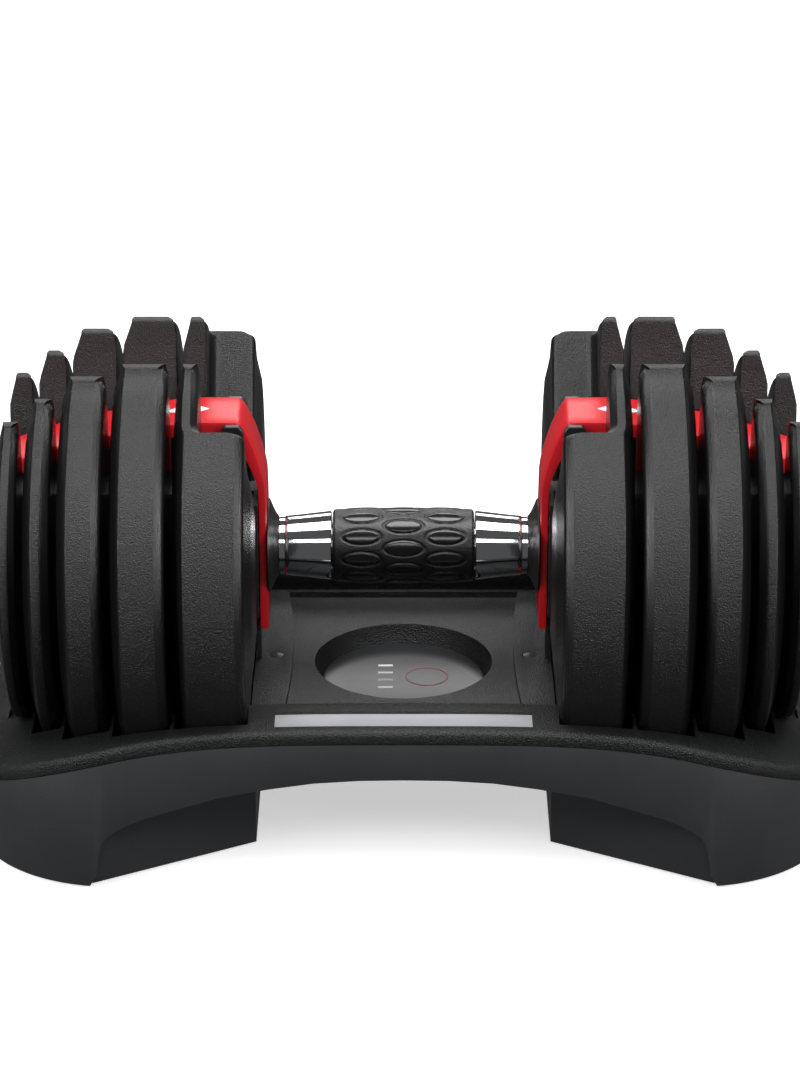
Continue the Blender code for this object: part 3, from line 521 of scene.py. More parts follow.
# Acetal and nylon of the moving selector parts: dark, waxy.
SELECTOR_DARK = MouldedPlastic("moulded acetal, black", "1c1c1d", 0.38, 0.8, 0.08)
# Satin black ABS of the dials and hubs: soft highlights along the petals.
DIAL_BLACK = MouldedPlastic("moulded ABS, satin black", "151516", 0.36, 0.8, 0.12)
# Natural rubber of the grip, moulded: black, with a soft shine from handling.
GRIP_RUBBER = MouldedPlastic("moulded rubber, grip", "101010", 0.36, 0.4, 0.3, 0.06)
# The same rubber from a polished insert of the mould, in the grip's oval pads.
GRIP_PAD = MouldedPlastic("moulded rubber, polished pad", "101010", 0.20, 1.2, 0.05, 0.03)
# Thermoplastic elastomer of the feet: dull black.
FOOT_RUBBER = MouldedPlastic("moulded rubber, foot", "1d1d1d", 0.75, 0.8, 0.2)
# Pad-printed ink on the dials, covers and dish: flat, slightly raised white.
INK_WHITE = MouldedPlastic("pad-printed ink, white", "e4e4e2", 0.5, 0.5, 0.02)
# Pad-printed ink of the ring in the dish: flat dark red.
INK_RED = MouldedPlastic("pad-printed ink, red", "8c1a1e", 0.45, 0.5, 0.02)
# Decorative chrome over turned steel: a mirror with faint turning lines.
CHROME = Metal("chrome plate, polished", "d9dadd", 0.05, 0.5, 0.02)
# Turned steel bar: grey, its light broken by the lathe's lines.
SHAFT_STEEL = Metal("turned steel", "9a9a9c", 0.26, 0.4, 0.2)
# Zinc-plated screw heads, a little cloudy.
SCREW_STEEL = Metal("zinc-plated steel", "8d8e92", 0.30, 0.4, 0.1)
# Black-oxide screws of the deck: dark, with a dim metal shine.
BLACK_SCREW = Metal("black-oxide steel", "3c3c3e", 0.38, 0.4, 0.1)
# Drawn spring wire: bright, with fine lines along the draw.
SPRING_STEEL = Metal("drawn spring wire", "a9a9ab", 0.22, 0.3, 0.1)
# Cast iron of the plates' cores, with its oxide skin: dull, uneven dark grey.
CORE_IRON = Metal("cast iron, oxide coat", "4a4a4b", 0.55, 0.9, 0.3)


def give_piece(mesh: bpy.types.Mesh, finish: MouldedPlastic | Metal, body: str, slot: str,
               *nodes: str) -> bpy.types.Object:
    """Hand a finished mesh to the frame.

    Args:
        mesh: Mesh with its place in its points, named for the piece.
        finish: Its finish, unless the mesh already has materials.
        body: Body that it moves with.
        slot: The record's material slot; not used.
        nodes: CAD nodes that it stands for.

    Returns:
        The piece.
    """
    piece = held(mesh)
    if not mesh.materials:
        mesh.materials.append(finish.material())
    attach(piece, body)
    if nodes:
        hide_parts(*nodes)
    LOG.info("%s: %d faces on %s", mesh.name, len(mesh.polygons), body)
    return piece


def dress(node: str, finish: MouldedPlastic | Metal) -> None:
    """Give a CAD node its finish.

    Args:
        node: Name of the node.
        finish: Its finish.
    """
    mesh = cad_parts[node].data
    mesh.materials.clear()
    mesh.materials.append(finish.material())
    LOG.info("%s: %s", node, finish.name)


# ---------------------------------------------------------------- weight plates

@dataclass
class WeightPlate:
    """Horseshoe weight plate: a grained rim, a polished face and a slot for the handle.

    Attributes:
        number: Place of the plate, counted outwards.
        inner: Place of the face towards the grip.
        outer: Place of the outer face.
        radius: Radius of the rim.
        tip_width: Width of the horns' tips.
        tip_round: Rounding of the tips.
        draft: How much the slot narrows below the tips.
        notch: Angle over the horizontal and depth of the inner plate's shoulders, if cut.
        bulge: Swell of the inner face, if it has one.
    """

    number: int
    inner: float
    outer: float
    radius: float
    tip_width: float = 6.0
    tip_round: float = 1.2
    draft: float = 3.5
    notch: tuple[float, float] | None = None
    bulge: float = 0.0

    RIM_IN = ((0, 14), (0, 6), (0, 3.6), (0.4, 2.6), (1.2, 1.7), (3.4, 0.75), (3.9, 0.35),
              (4.6, 0.05), (6, 0))
    RIM_OUT = ((7, 0), (6, 0.05), (5.3, 0.4), (4.7, 1.2), (1.2, 11), (0.5, 12.6), (0.1, 14.2),
               (0, 15.5), (0, 18))
    SLOT_OUT = ((0, 6), (0, 2.2), (0.3, 1), (1, 0.3), (2.2, 0))
    FULL_THICKNESS = 14.2
    FULL_WIDTH = 18.0
    FAN_START = math.radians(51)
    TIP_STEPS = 6
    TIP_STRETCH = 1.4
    HOLLOW_ROUND = 5.5
    SHOULDER_ROUND = 3.2

    def walk(self) -> tuple[np.ndarray, np.ndarray, np.ndarray]:
        """Stations down one half of the horseshoe, from the tip to the bottom.

        The inner plate's shoulder is walked down the horn, round a hollow, in along the flat
        and round the edge, as a line in angle and place along the handle.

        Returns:
            Angle over the horizontal, place of the inner face there and inset of the tip.
        """
        half_tip = SLOT_R + self.tip_width
        tip = math.acos(half_tip / self.radius)
        turn = np.linspace(math.pi / 2, 0, self.TIP_STEPS)
        insets = (1 - np.cos(turn)) * self.tip_round * self.TIP_STRETCH
        if self.notch is None:
            angles = np.linspace(tip, -math.pi / 2, 96)[1:]
            lows = np.full(len(angles), self.inner)
            deep = self.inner
        else:
            flat, depth = math.radians(self.notch[0]), self.notch[1]
            deep = self.inner + depth
            hollow, edge = self.HOLLOW_ROUND, self.SHOULDER_ROUND
            bend = np.linspace(0, math.pi / 2, 7)
            horn = np.linspace(tip, flat + hollow / self.radius, 9)[1:-1]
            hollow_a = flat + hollow / self.radius * (1 - np.sin(bend))
            hollow_x = deep - hollow + hollow * np.cos(bend)
            flat_x = np.linspace(deep - hollow, self.inner + edge, 8)[1:-1]
            edge_a = flat - edge / self.radius * (1 - np.cos(bend))
            edge_x = self.inner + edge - edge * np.sin(bend)
            rest = np.linspace(flat - edge / self.radius, -math.pi / 2, 78)[1:]
            angles = np.concatenate([horn, hollow_a, np.full(len(flat_x), flat), edge_a, rest])
            lows = np.concatenate([np.full(len(horn), deep), hollow_x, flat_x, edge_x,
                                   np.full(len(rest), self.inner)])
        angles = np.concatenate([np.full(len(turn), tip), angles])
        lows = np.concatenate([np.full(len(turn), deep), lows])
        return angles, lows, np.concatenate([insets, np.zeros(len(angles) - len(turn))])

    def section(self, low: np.ndarray, width: np.ndarray) -> tuple[np.ndarray, np.ndarray]:
        """Closed section of the horseshoe at each station.

        It goes round the rim's inner edge, the rim, the outer bevel, the slot's two edges and
        back over the inner face.  The edges shrink where the section is short or thin.

        Args:
            low: Column of places of the inner face.
            width: Column of distances from the rim to the slot.

        Returns:
            Places along the handle, and distances from the rim.
        """
        rim_in, rim_out, edge = (np.array(part).T[:, None] for part in (
            self.RIM_IN, self.RIM_OUT, self.SLOT_OUT))
        squeeze = np.minimum(1, 0.45 * width / self.FULL_WIDTH)
        slim = np.clip((self.outer - low) / self.FULL_THICKNESS, 0, 1)
        back = edge[:, :, ::-1]
        share = np.linspace(0, 1, 8)[1:-1]
        first, last = width - squeeze * edge[1, :, :1], squeeze * rim_in[1, :, :1]
        x = [low + slim * rim_in[0], self.outer - slim * rim_out[0], self.outer - slim * edge[0],
             low + slim * back[0], np.repeat(low, len(share), axis=1)]
        u = [squeeze * rim_in[1], squeeze * rim_out[1], width - squeeze * edge[1],
             width - squeeze * back[1], first * (1 - share) + last * share]
        return np.hstack(x), np.hstack(u)

    def held_in(self, x: np.ndarray, depth: np.ndarray, low: np.ndarray,
                inset: np.ndarray) -> np.ndarray:
        """Places along the handle, held inside the turned profile at each point's depth.

        Args:
            x: Places along the handle.
            depth: Distance of each point inside the rim's circle.
            low: Column of places of the inner face.
            inset: Column of the tip's insets.

        Returns:
            The places after both limits.
        """
        rim_in, rim_out = np.array(self.RIM_IN), np.array(self.RIM_OUT)
        slim = np.clip((self.outer - low) / self.FULL_THICKNESS, 0, 1)
        from_out = slim * np.interp(depth, rim_out[1:, 1], rim_out[1:, 0])
        from_in = slim * np.interp(depth, rim_in[-2::-1, 1], rim_in[-2::-1, 0])
        x = np.minimum(x, self.outer - np.maximum(from_out, inset))
        return np.maximum(x, low + np.maximum(from_in, inset))

    def swell(self, place: np.ndarray, u: np.ndarray, width: np.ndarray,
              angle: np.ndarray) -> np.ndarray:
        """Height of the inner face's swell, as a product of eased shares.

        It fades towards the rim, the slot, the plate's foot and the shoulder.

        Args:
            place: Points across the handle and over its axis.
            u: Distances from the rim.
            width: Column of distances from the rim to the slot.
            angle: Column of the stations' angles.

        Returns:
            Swell of each point.
        """
        over_section = smooth_step(u, 3.5, 18) * smooth_step(width - u, 1, 9)
        over_face = (smooth_step(np.abs(place[:, :, 0]), 30, 46)
                     * smooth_step(place[:, :, 1], -43, -22))
        below_shoulder = 1 - smooth_step(np.degrees(angle), 36, 49)
        return self.bulge * over_section * over_face * below_shoulder

    def mesh(self, side: Side) -> bpy.types.Mesh:
        """Sweep the section round the horseshoe.

        A station at angle b has its outer point on the rim's circle at that angle.  Its inner
        point is on the same radius: on the slot's round bottom below the axis, and on the
        slot's wall above it.  Over the fan's start the inner point climbs faster, up to the
        tip, where the section lies flat.  The faces follow the turned profile, so no point
        passes the bevel that belongs to its own radius.

        Args:
            side: Head that the plate is on.

        Returns:
            The mesh.
        """
        angles, lows, insets = self.walk()
        count = len(angles)
        tip, top_row = angles[0], (insets > 0).sum() + 1
        tip_height = self.radius * math.sin(tip)
        rise = np.zeros(count)
        level = 1 - insets[:top_row] / (self.tip_round * self.TIP_STRETCH)
        rise[:top_row] = np.sqrt(np.maximum(0, 1 - level ** 2))
        order = np.concatenate([np.arange(count), np.arange(count - 2, -1, -1)])
        sign = np.concatenate([-np.ones(count), np.ones(count - 1)])
        angle, low, inset = angles[order], lows[order][:, None], insets[order][:, None]
        rim = self.radius * np.column_stack([np.cos(angle) * sign, np.sin(angle)])
        wall_h = SLOT_R * np.tan(np.clip(angle, 0, self.FAN_START))
        climb = np.clip((angle - self.FAN_START) / (tip - self.FAN_START), 0, 1)
        wall_h += climb * (tip_height - SLOT_R * math.tan(self.FAN_START))
        near = self.draft * smooth_step(wall_h, 18, 50) * smooth_step(tip_height - wall_h, 0, 40)
        on_wall = np.column_stack([sign * (SLOT_R - near), wall_h])
        slot = np.where(angle[:, None] >= 0, on_wall, rim / self.radius * SLOT_R)
        width = np.linalg.norm(slot - rim, axis=1)[:, None]
        way = (slot - rim) / width
        x, u = self.section(low, width)
        u = np.clip(u, inset, width - inset)
        place = rim[:, None, :] + way[:, None, :] * u[:, :, None]
        depth = self.radius - np.hypot(place[:, :, 0], place[:, :, 1])
        x = self.held_in(x, depth, low, inset)
        place[:, :, 1] += rise[order][:, None] * self.tip_round
        if self.bulge:
            raised = x - self.swell(place, u, width, angle[:, None])
            x = np.where(x < low + 0.3, raised, x)
        points = np.stack([x, place[:, :, 0], place[:, :, 1] + AXIS_Z], axis=-1)
        return solid_mesh(f"plate_{self.number}_shell_{side.word}", reflected(points, side),
                          capped_faces(*points.shape[:2]))

    def build(self, side: Side) -> None:
        """Make the plate's shell and dress its core.

        Args:
            side: Head that the plate is on.
        """
        name = f"plate_{self.number}"
        give_piece(self.mesh(side), PLATE_BLACK, f"{name}_{side.word}", "plate_casing",
                   f"{name}_casing_{side.word}")
        dress(f"{name}_core_{side.word}", CORE_IRON)


@dataclass
class Plates:
    """The plates of a head.

    Attributes:
        notch: Angle and depth of the innermost plate's shoulders.
        bulge: Swell of its inner face.
    """

    notch: tuple[float, float] = (51.0, 21.0)
    bulge: float = 3.2

    def build(self, side: Side) -> None:
        """Make one head's plates; the innermost has a notch and a swollen face.

        Args:
            side: Head that the plates are on.
        """
        for number, (inner, outer, radius) in enumerate(PLATES, start=1):
            plate = WeightPlate(number, inner, outer, radius)
            if number == 1:
                plate.notch, plate.bulge = self.notch, self.bulge
            plate.build(side)


# ---------------------------------------------------------------- red cover

@dataclass
class Cover:
    """Red cover: a plate by the hub, an S-shaped shoulder and a bar over the plates' slots."""

    half_width: float = COVER_HALF
    wall: float = 3.0
    plate_depth: float = 3.5
    bar_depth: float = 6.5
    bevel: float = 2.2
    fin_thickness: float = 1.6
    fin_bottom: float = 46.5
    mark_middle: float = 98.5
    mark_half: float = 9.6
    mark_width: float = 6.0
    mark_rise: float = 0.14
    mark_sink: float = 0.3
    end_wall: tuple[float, float] = (179.0, 1.5)

    SHOULDER = ((62.7, -35.0), (62.7, 30.0), (63.5, 38.5), (66.6, 50.0), (69.8, 59.0),
                (74.4, 67.4), (78.0, 67.8))
    BAR = ((100.0, 67.8), (117.5, 65.0), (143.25, 59.5), (163.0, 54.0), (178.0, 48.5),
           (184.0, 46.4))

    def path(self) -> np.ndarray:
        """Top line of the cover, each corner cut at a quarter of its sides, three times.

        Returns:
            Place along the handle and height over the axis of each point.
        """
        line = np.array(self.SHOULDER + self.BAR)
        for _ in range(3):
            near = line[:-1] * 0.75 + line[1:] * 0.25
            far = line[:-1] * 0.25 + line[1:] * 0.75
            inside = np.stack([near, far], axis=1).reshape(-1, 2)
            line = np.vstack([line[:1], inside[1:-1], line[-1:]])
        return line

    def shell(self, side: Side) -> bpy.types.Mesh:
        """Carry a channel section along the top line.

        Its depth grows smoothly from the plate's to the bar's over the shoulder, and its
        ceiling thickens to the full depth at the outer end, which closes it.

        Args:
            side: Head that the cover is on.

        Returns:
            The mesh.
        """
        line = self.path()
        way = np.gradient(line, axis=0)
        way /= np.linalg.norm(way, axis=1)[:, None]
        inward = np.column_stack([way[:, 1], -way[:, 0]])
        shoulder_end = self.SHOULDER[-1][0]
        on_bar = line[:, 0] >= shoulder_end
        grow = np.where(on_bar, 1.0, smooth_step(line[:, 1], 36, 66))
        depth = self.plate_depth + (self.bar_depth - self.plate_depth) * grow
        close = np.clip((line[:, 0] - self.end_wall[0]) / self.end_wall[1], 0, 1)
        ceiling = self.wall + (depth - 0.3 - self.wall) * close
        edge, bevel = self.half_width, self.bevel
        inside, ease = edge - self.wall, 0.25 * self.bevel
        half = np.array([edge * 0.4, edge - bevel, edge - ease, edge, edge])
        across = np.concatenate([-half[::-1], half, [inside, inside, -inside, -inside]])
        flat = np.zeros(len(line))
        down = np.column_stack([
            depth, flat + bevel, flat + ease, flat, flat, flat, flat, flat + ease, flat + bevel,
            depth, depth, ceiling, ceiling, depth])
        place = line[:, None, :] + inward[:, None, :] * down[:, :, None]
        y = np.repeat(across[None, :], len(line), axis=0)
        points = np.stack([place[:, :, 0], y, place[:, :, 1] + AXIS_Z], axis=-1)
        return solid_mesh(f"cover_shell_{side.word}", reflected(points, side),
                          capped_faces(*y.shape), 40)

    def mark(self, side: Side) -> bpy.types.Mesh:
        """Printed lozenge along the bar's top, a seventh of a millimetre of ink.

        Its half width grows from nothing at each end to the middle, and its height follows the
        cover's top line.

        Args:
            side: Head that the cover is on.

        Returns:
            The mesh.
        """
        line = self.path()
        share = np.linspace(-1, 1, 25)
        x = self.mark_middle + self.mark_half * share
        top = np.interp(x, line[:, 0], line[:, 1]) + AXIS_Z
        half = self.mark_width * (1 - np.abs(share)) ** 0.8 + 0.02
        rise, sink = self.mark_rise, -self.mark_sink
        edge = np.stack([np.stack([x, sign * half, top + lift], axis=-1)
                         for sign, lift in ((-1, rise), (1, rise), (1, sink), (-1, sink))], axis=1)
        return solid_mesh(f"cover_mark_{side.word}", reflected(edge, side),
                          capped_faces(len(x), 4))

    def fin(self, side: Side, number: int, middle: float, top: float) -> bpy.types.Mesh:
        """Fin between two plates, whose lower edge follows the selector disc's rim.

        Args:
            side: Head that the cover is on.
            number: The fin's number, counted outwards.
            middle: Its place along the handle.
            top: Height of its upper edge over the axis.

        Returns:
            The mesh.
        """
        half = self.half_width - 1
        y = np.linspace(-half, half, 21)
        low = np.sqrt(self.fin_bottom ** 2 - y ** 2)
        outline = np.vstack([np.column_stack([y, low]), [(half, top), (-half, top)]])
        step = self.fin_thickness / 2
        ends = sorted(side.value * place for place in (middle - step, middle + step))
        return prism(f"cover_fin_{number}_{side.word}", outline + [0, AXIS_Z], *ends, "YZ")

    def build(self, side: Side) -> None:
        """Make the shell, the fins between the plates and the printed mark.

        Args:
            side: Head that the cover is on.
        """
        give_piece(self.shell(side), COVER_RED, "handle", "red_cover", f"cover_{side.word}")
        line = self.path()
        for number, ((_, outer, _), (inner, _, _)) in enumerate(zip(PLATES, PLATES[1:]), 1):
            middle = (outer + inner) / 2
            top = float(np.interp(middle, line[:, 0], line[:, 1])) - 1.0
            give_piece(self.fin(side, number, middle, top), COVER_RED, "handle", "red_cover")
        give_piece(self.mark(side), INK_WHITE, "handle", "red_cover")


# ---------------------------------------------------------------- handle

@dataclass
class Handle:
    """Rubber grip with oval pads, chrome collars, black hubs and end screws."""

    half_length: float = 32.8
    middle_r: float = 17.6
    end_r: float = 16.75
    bore: float = 10.3
    pads_round: int = 10
    pad_columns: tuple[float, ...] = (-19.4, 0.0, 19.4)
    pad_half: tuple[float, float] = (9.0, 3.9)
    groove: float = 0.55
    groove_spread: float = 0.10
    dome: float = 0.35
    end_round: float = 1.3
    polished: float = 0.86

    # Turned profiles, as radius and place along the handle.
    COLLAR = ((10.3, 33.3), (15.6, 33.3), (15.95, 33.6), (16.0, 34.1), (15.8, 36.0), (15.2, 41.0),
              (14.5, 47.0), (13.95, 52.6), (13.8, 54.4), (13.6, 54.7), (13.3, 54.9), (13.2, 57.4),
              (10.3, 57.4))
    HUB = ((10.3, 57.7), (13.6, 57.7), (14.3, 58.2), (15.6, 59.2), (18.4, 60.5), (21.0, 61.6),
           (21.8, 62.0), (22.0, 62.4), (10.3, 62.4))
    SCREW = ((0, 191.0), (3.0, 191.0), (3.0, 205.6), (9.0, 205.6), (9.0, 208.3), (8.7, 209.0),
             (8.0, 209.6), (3.6, 209.6), (3.2, 209.2), (3.0, 207.4), (0, 207.4))

    def on_pad(self, places: np.ndarray) -> np.ndarray:
        """Distance of points from the middle of their pad, where 1 is the pad's outline.

        Args:
            places: Points on the grip.

        Returns:
            Distance of each point; it is far over 1 between the columns of pads.
        """
        pitch = math.tau / self.pads_round
        angle = np.arctan2(places[:, 2] - AXIS_Z, places[:, 1])
        nearest = np.full(len(places), np.inf)
        for number, centre in enumerate(self.pad_columns):
            offset = pitch / 2 if number % 2 else 0.0
            v = ((angle - offset + pitch / 2) % pitch - pitch / 2) * self.middle_r
            u = places[:, 0] - centre
            nearest = np.minimum(nearest, np.hypot(u / self.pad_half[0], v / self.pad_half[1]))
        return nearest

    def grip(self) -> bpy.types.Mesh:
        """Barrel with relief.

        The radius falls off with the square of the place along the handle.  In each pad's cell
        q is the square root of u over a squared plus v over b squared; a groove follows the
        curve where q is 1 as a bell of q, and inside it the surface rises by one less q squared.

        Returns:
            The mesh, its pads in their own finish.
        """
        x = np.linspace(-self.half_length, self.half_length, 236)
        steps = 300
        angle = np.linspace(0, math.tau, steps, endpoint=False)
        base = self.middle_r - (self.middle_r - self.end_r) * (x / self.half_length) ** 2
        start = self.half_length - self.end_round
        base -= self.end_round * np.clip((np.abs(x) - start) / self.end_round, 0, 1) ** 2
        along, turn = (field.ravel() for field in np.meshgrid(x, angle, indexing="ij"))
        places = np.column_stack([along, np.cos(turn), np.sin(turn) + AXIS_Z])
        pad = self.on_pad(places).reshape(len(x), steps)
        relief = -self.groove * np.exp(-((pad - 1.0) / self.groove_spread) ** 2)
        swell = self.dome * (1 - pad ** 2) * smooth_step(1 - pad, 0, 0.25)
        relief += np.where(pad < 1, swell, 0.0)
        relief *= smooth_step(self.half_length - np.abs(x), 1.4, 3.0)[:, None]
        outer = base[:, None] + relief
        rows = np.vstack([outer, np.full((2, steps), self.bore), outer[:1]])
        along = np.concatenate([x, [self.half_length, -self.half_length], x[:1]])
        points = np.stack([np.repeat(along[:, None], steps, axis=1), rows * np.cos(angle),
                           rows * np.sin(angle) + AXIS_Z], axis=-1)
        mesh = solid_mesh("grip_rubber", points, grid_faces(len(along), steps, True), 50)
        paint(mesh, GRIP_RUBBER, GRIP_PAD, lambda centres: self.on_pad(centres) < self.polished)
        return mesh

    def build(self) -> None:
        """Make the grip and dress the shaft."""
        give_piece(self.grip(), GRIP_RUBBER, "handle", "grip_rubber", "grip")
        dress("handle_bar", SHAFT_STEEL)

    def build_end(self, side: Side) -> None:
        """Make one side's collar, hub and end screw.

        Args:
            side: Head that they lead to.
        """
        for name, profile, steps, finish, slot, node in (
                ("collar_chrome", self.COLLAR, 160, CHROME, "chrome", "collar"),
                ("hub_shell", self.HUB, 128, DIAL_BLACK, "black_shell", "hub"),
                ("end_screw_head", self.SCREW, 72, SCREW_STEEL, "screw_steel", "end_screw")):
            mesh = turned(f"{name}_{side.word}", profile, steps, Axis.HANDLE, side)
            give_piece(mesh, finish, "handle", slot, f"{node}_{side.word}")


# ---------------------------------------------------------------- dial and selector

@dataclass
class Dial:
    """Weight dial with fifteen petals round its face, a number on each, and a scalloped rim."""

    face: float = 214.7
    label_r: float = 29.5
    text_size: float = 6.2
    long_text: float = 0.82
    ink_half: float = 0.12
    ink_rise: float = 0.1
    groove: float = 0.7
    scallop: float = 1.1
    bell: float = 0.13

    # Radius, drop under the face, and how much of the groove and the scallop it takes.
    PROFILE = (
        (7.4, 29.7, 0, 0), (13, 29.7, 0, 0), (13, 14.7, 0, 0), (24, 7.7, 0, 0), (24, 3.4, 0, 0),
        (38.4, 3.4, 0, 0), (45.4, 29.7, 0, 0), (48.4, 29.7, 0, 0), (49.0, 29.1, 0, 0),
        (49.0, 27.2, 0, 0.2), (48.7, 25.7, 0, 0.9), (48.0, 20.7, 0, 1), (47.2, 15.7, 0, 1),
        (46.4, 10.7, 0, 1), (45.8, 7.2, 0, 1), (45.2, 5.8, 0, 1), (44.0, 4.4, 0.2, 0.8),
        (42.2, 2.7, 0.6, 0.5), (40.6, 1.2, 1, 0.2), (39.6, 0.4, 1, 0), (38.6, 0.05, 1, 0),
        (37.0, 0, 1, 0), (33.0, 0, 1, 0), (29.0, 0, 1, 0), (25.0, 0, 1, 0), (22.4, 0, 0.9, 0),
        (21.6, 0, 0, 0), (21.2, 0.1, 0, 0), (20.9, 0.6, 0, 0), (20.4, 0.7, 0, 0),
        (19.2, 0.6, 0, 0), (18.4, 0.9, 0, 0), (17.9, 1.6, 0, 0), (16.7, 9.1, 0, 0),
        (16.0, 9.7, 0, 0), (7.4, 9.7, 0, 0), (7.4, 29.7, 0, 0))
    WEDGE = ((-1.1, -9.2), (1.1, -9.2), (0.0, -5.2))
    WEDGE_FACES = ((0, 2, 1), (3, 4, 5), (0, 1, 4, 3), (1, 2, 5, 4), (2, 0, 3, 5))

    def body(self, side: Side) -> bpy.types.Mesh:
        """Turned profile with petals.

        Across each petal a share runs from minus one to one.  A narrow bell at its ends sinks
        the grooves into the face and draws the rim in, by weights that fade at the face's
        edges.

        Args:
            side: Head that the dial is on.

        Returns:
            The mesh.
        """
        profile = np.array(self.PROFILE)
        steps = len(LABELS) * 24
        angle = np.linspace(0, math.tau, steps, endpoint=False)
        half_petal = math.pi / len(LABELS)
        share = ((angle - math.pi / 2 + half_petal) % (2 * half_petal)) / half_petal - 1
        bell = np.exp(-((1 - np.abs(share)) / self.bell) ** 2)
        radius = profile[:, 0:1] - self.scallop * profile[:, 3:4] * bell
        along = self.face - profile[:, 1:2] - self.groove * profile[:, 2:3] * bell
        points = np.stack([along, radius * np.cos(angle), radius * np.sin(angle) + AXIS_Z],
                          axis=-1)
        return solid_mesh(f"dial_shell_{side.word}", reflected(points, side),
                          grid_faces(len(profile), steps, True), 40)

    def letters(self, label: str) -> tuple[np.ndarray, list[tuple[int, ...]]]:
        """Shape of a printed number, flat and centred, with the ink's thickness.

        Args:
            label: The number.

        Returns:
            Its points and faces.
        """
        text = bpy.data.curves.new("label", "FONT")
        text.body, text.size = label, self.text_size * (self.long_text if len(label) > 3 else 1.0)
        text.align_x, text.align_y, text.extrude = "CENTER", "CENTER", self.ink_half
        text.resolution_u = 3
        holder = held(text)
        flat = final_mesh(holder)
        points = np.empty(len(flat.vertices) * 3)
        flat.vertices.foreach_get("co", points)
        faces = [tuple(face.vertices) for face in flat.polygons]
        bpy.data.objects.remove(holder)
        bpy.data.meshes.remove(flat)
        return points.reshape(-1, 3), faces

    def ink(self, side: Side) -> bpy.types.Mesh:
        """Numbers and wedges of all settings, as thin raised ink.

        A letter's right and up become the tangent and the outward radius of its petal, turned
        so that it reads from outside on either side.

        Args:
            side: Head that the dial is on.

        Returns:
            The mesh.
        """
        wedge = np.vstack([np.column_stack([self.WEDGE, np.full(len(self.WEDGE), z)])
                           for z in (-self.ink_half, self.ink_half)])
        middle = np.array([side.value * (self.face + self.ink_rise), 0, AXIS_Z])
        out = np.array([float(side.value), 0.0, 0.0])
        points, faces, offset = [], [], 0
        for index, label in enumerate(LABELS, start=1):
            turn = math.pi / 2 + (len(LABELS) - index) * math.tau / len(LABELS)
            up = np.array([0.0, math.cos(turn), math.sin(turn)])
            right = np.array([0.0, math.sin(turn), -math.cos(turn)]) * side.value
            for shape, shape_faces in (self.letters(label), (wedge, self.WEDGE_FACES)):
                points.append(middle + up * self.label_r + shape @ np.stack([right, up, out]))
                faces += [[number + offset for number in face] for face in shape_faces]
                offset += len(shape)
        return solid_mesh(f"dial_ink_{side.word}", np.vstack(points), faces, 20)

    def build(self, side: Side) -> None:
        """Make the dial and its ink, and dress the selector behind it.

        Args:
            side: Head that the dial is on.
        """
        body = f"dial_{side.word}"
        give_piece(self.body(side), DIAL_BLACK, body, "dial_plastic", body)
        give_piece(self.ink(side), INK_WHITE, body, "dial_plastic")
        dress(f"selector_sleeve_{side.word}", SELECTOR_DARK)
        for number in range(1, len(PLATES) + 1):
            dress(f"selector_disc_{number}_{side.word}", SELECTOR_DARK)


@dataclass
class Lock:
    """Lock slide, its spring, the spring's housing under the cover, and its two end caps."""

    cap_sink: float = 0.5
    cap_reach: float = 3.0
    cap_round: float = 0.5

    CAP = ((72.6, 56.0), (82.5, 56.0), (82.5, 65.2), (81.0, 66.6), (74.6, 66.6), (72.6, 64.0))

    def build(self, side: Side) -> None:
        """Make the caps on the cover's front and rear, and dress the lock's pieces.

        Args:
            side: Head that the lock is on.
        """
        outline = (np.array(self.CAP) + [0, AXIS_Z]) * [side.value, 1]
        near, far = COVER_HALF - self.cap_sink, COVER_HALF + self.cap_reach
        for word, face in (("front", -1), ("rear", 1)):
            cap = prism(f"lock_cap_{word}_{side.word}", outline,
                        *sorted((face * near, face * far)), "XZ")
            give_piece(rounded_edges(cap, self.cap_round), SELECTOR_DARK, "handle",
                       "black_shell")
        dress(f"lock_slide_{side.word}", SELECTOR_DARK)
        dress(f"lock_spring_{side.word}", SPRING_STEEL)
        dress(f"spring_housing_{side.word}", SELECTOR_DARK)


# ---------------------------------------------------------------- tray

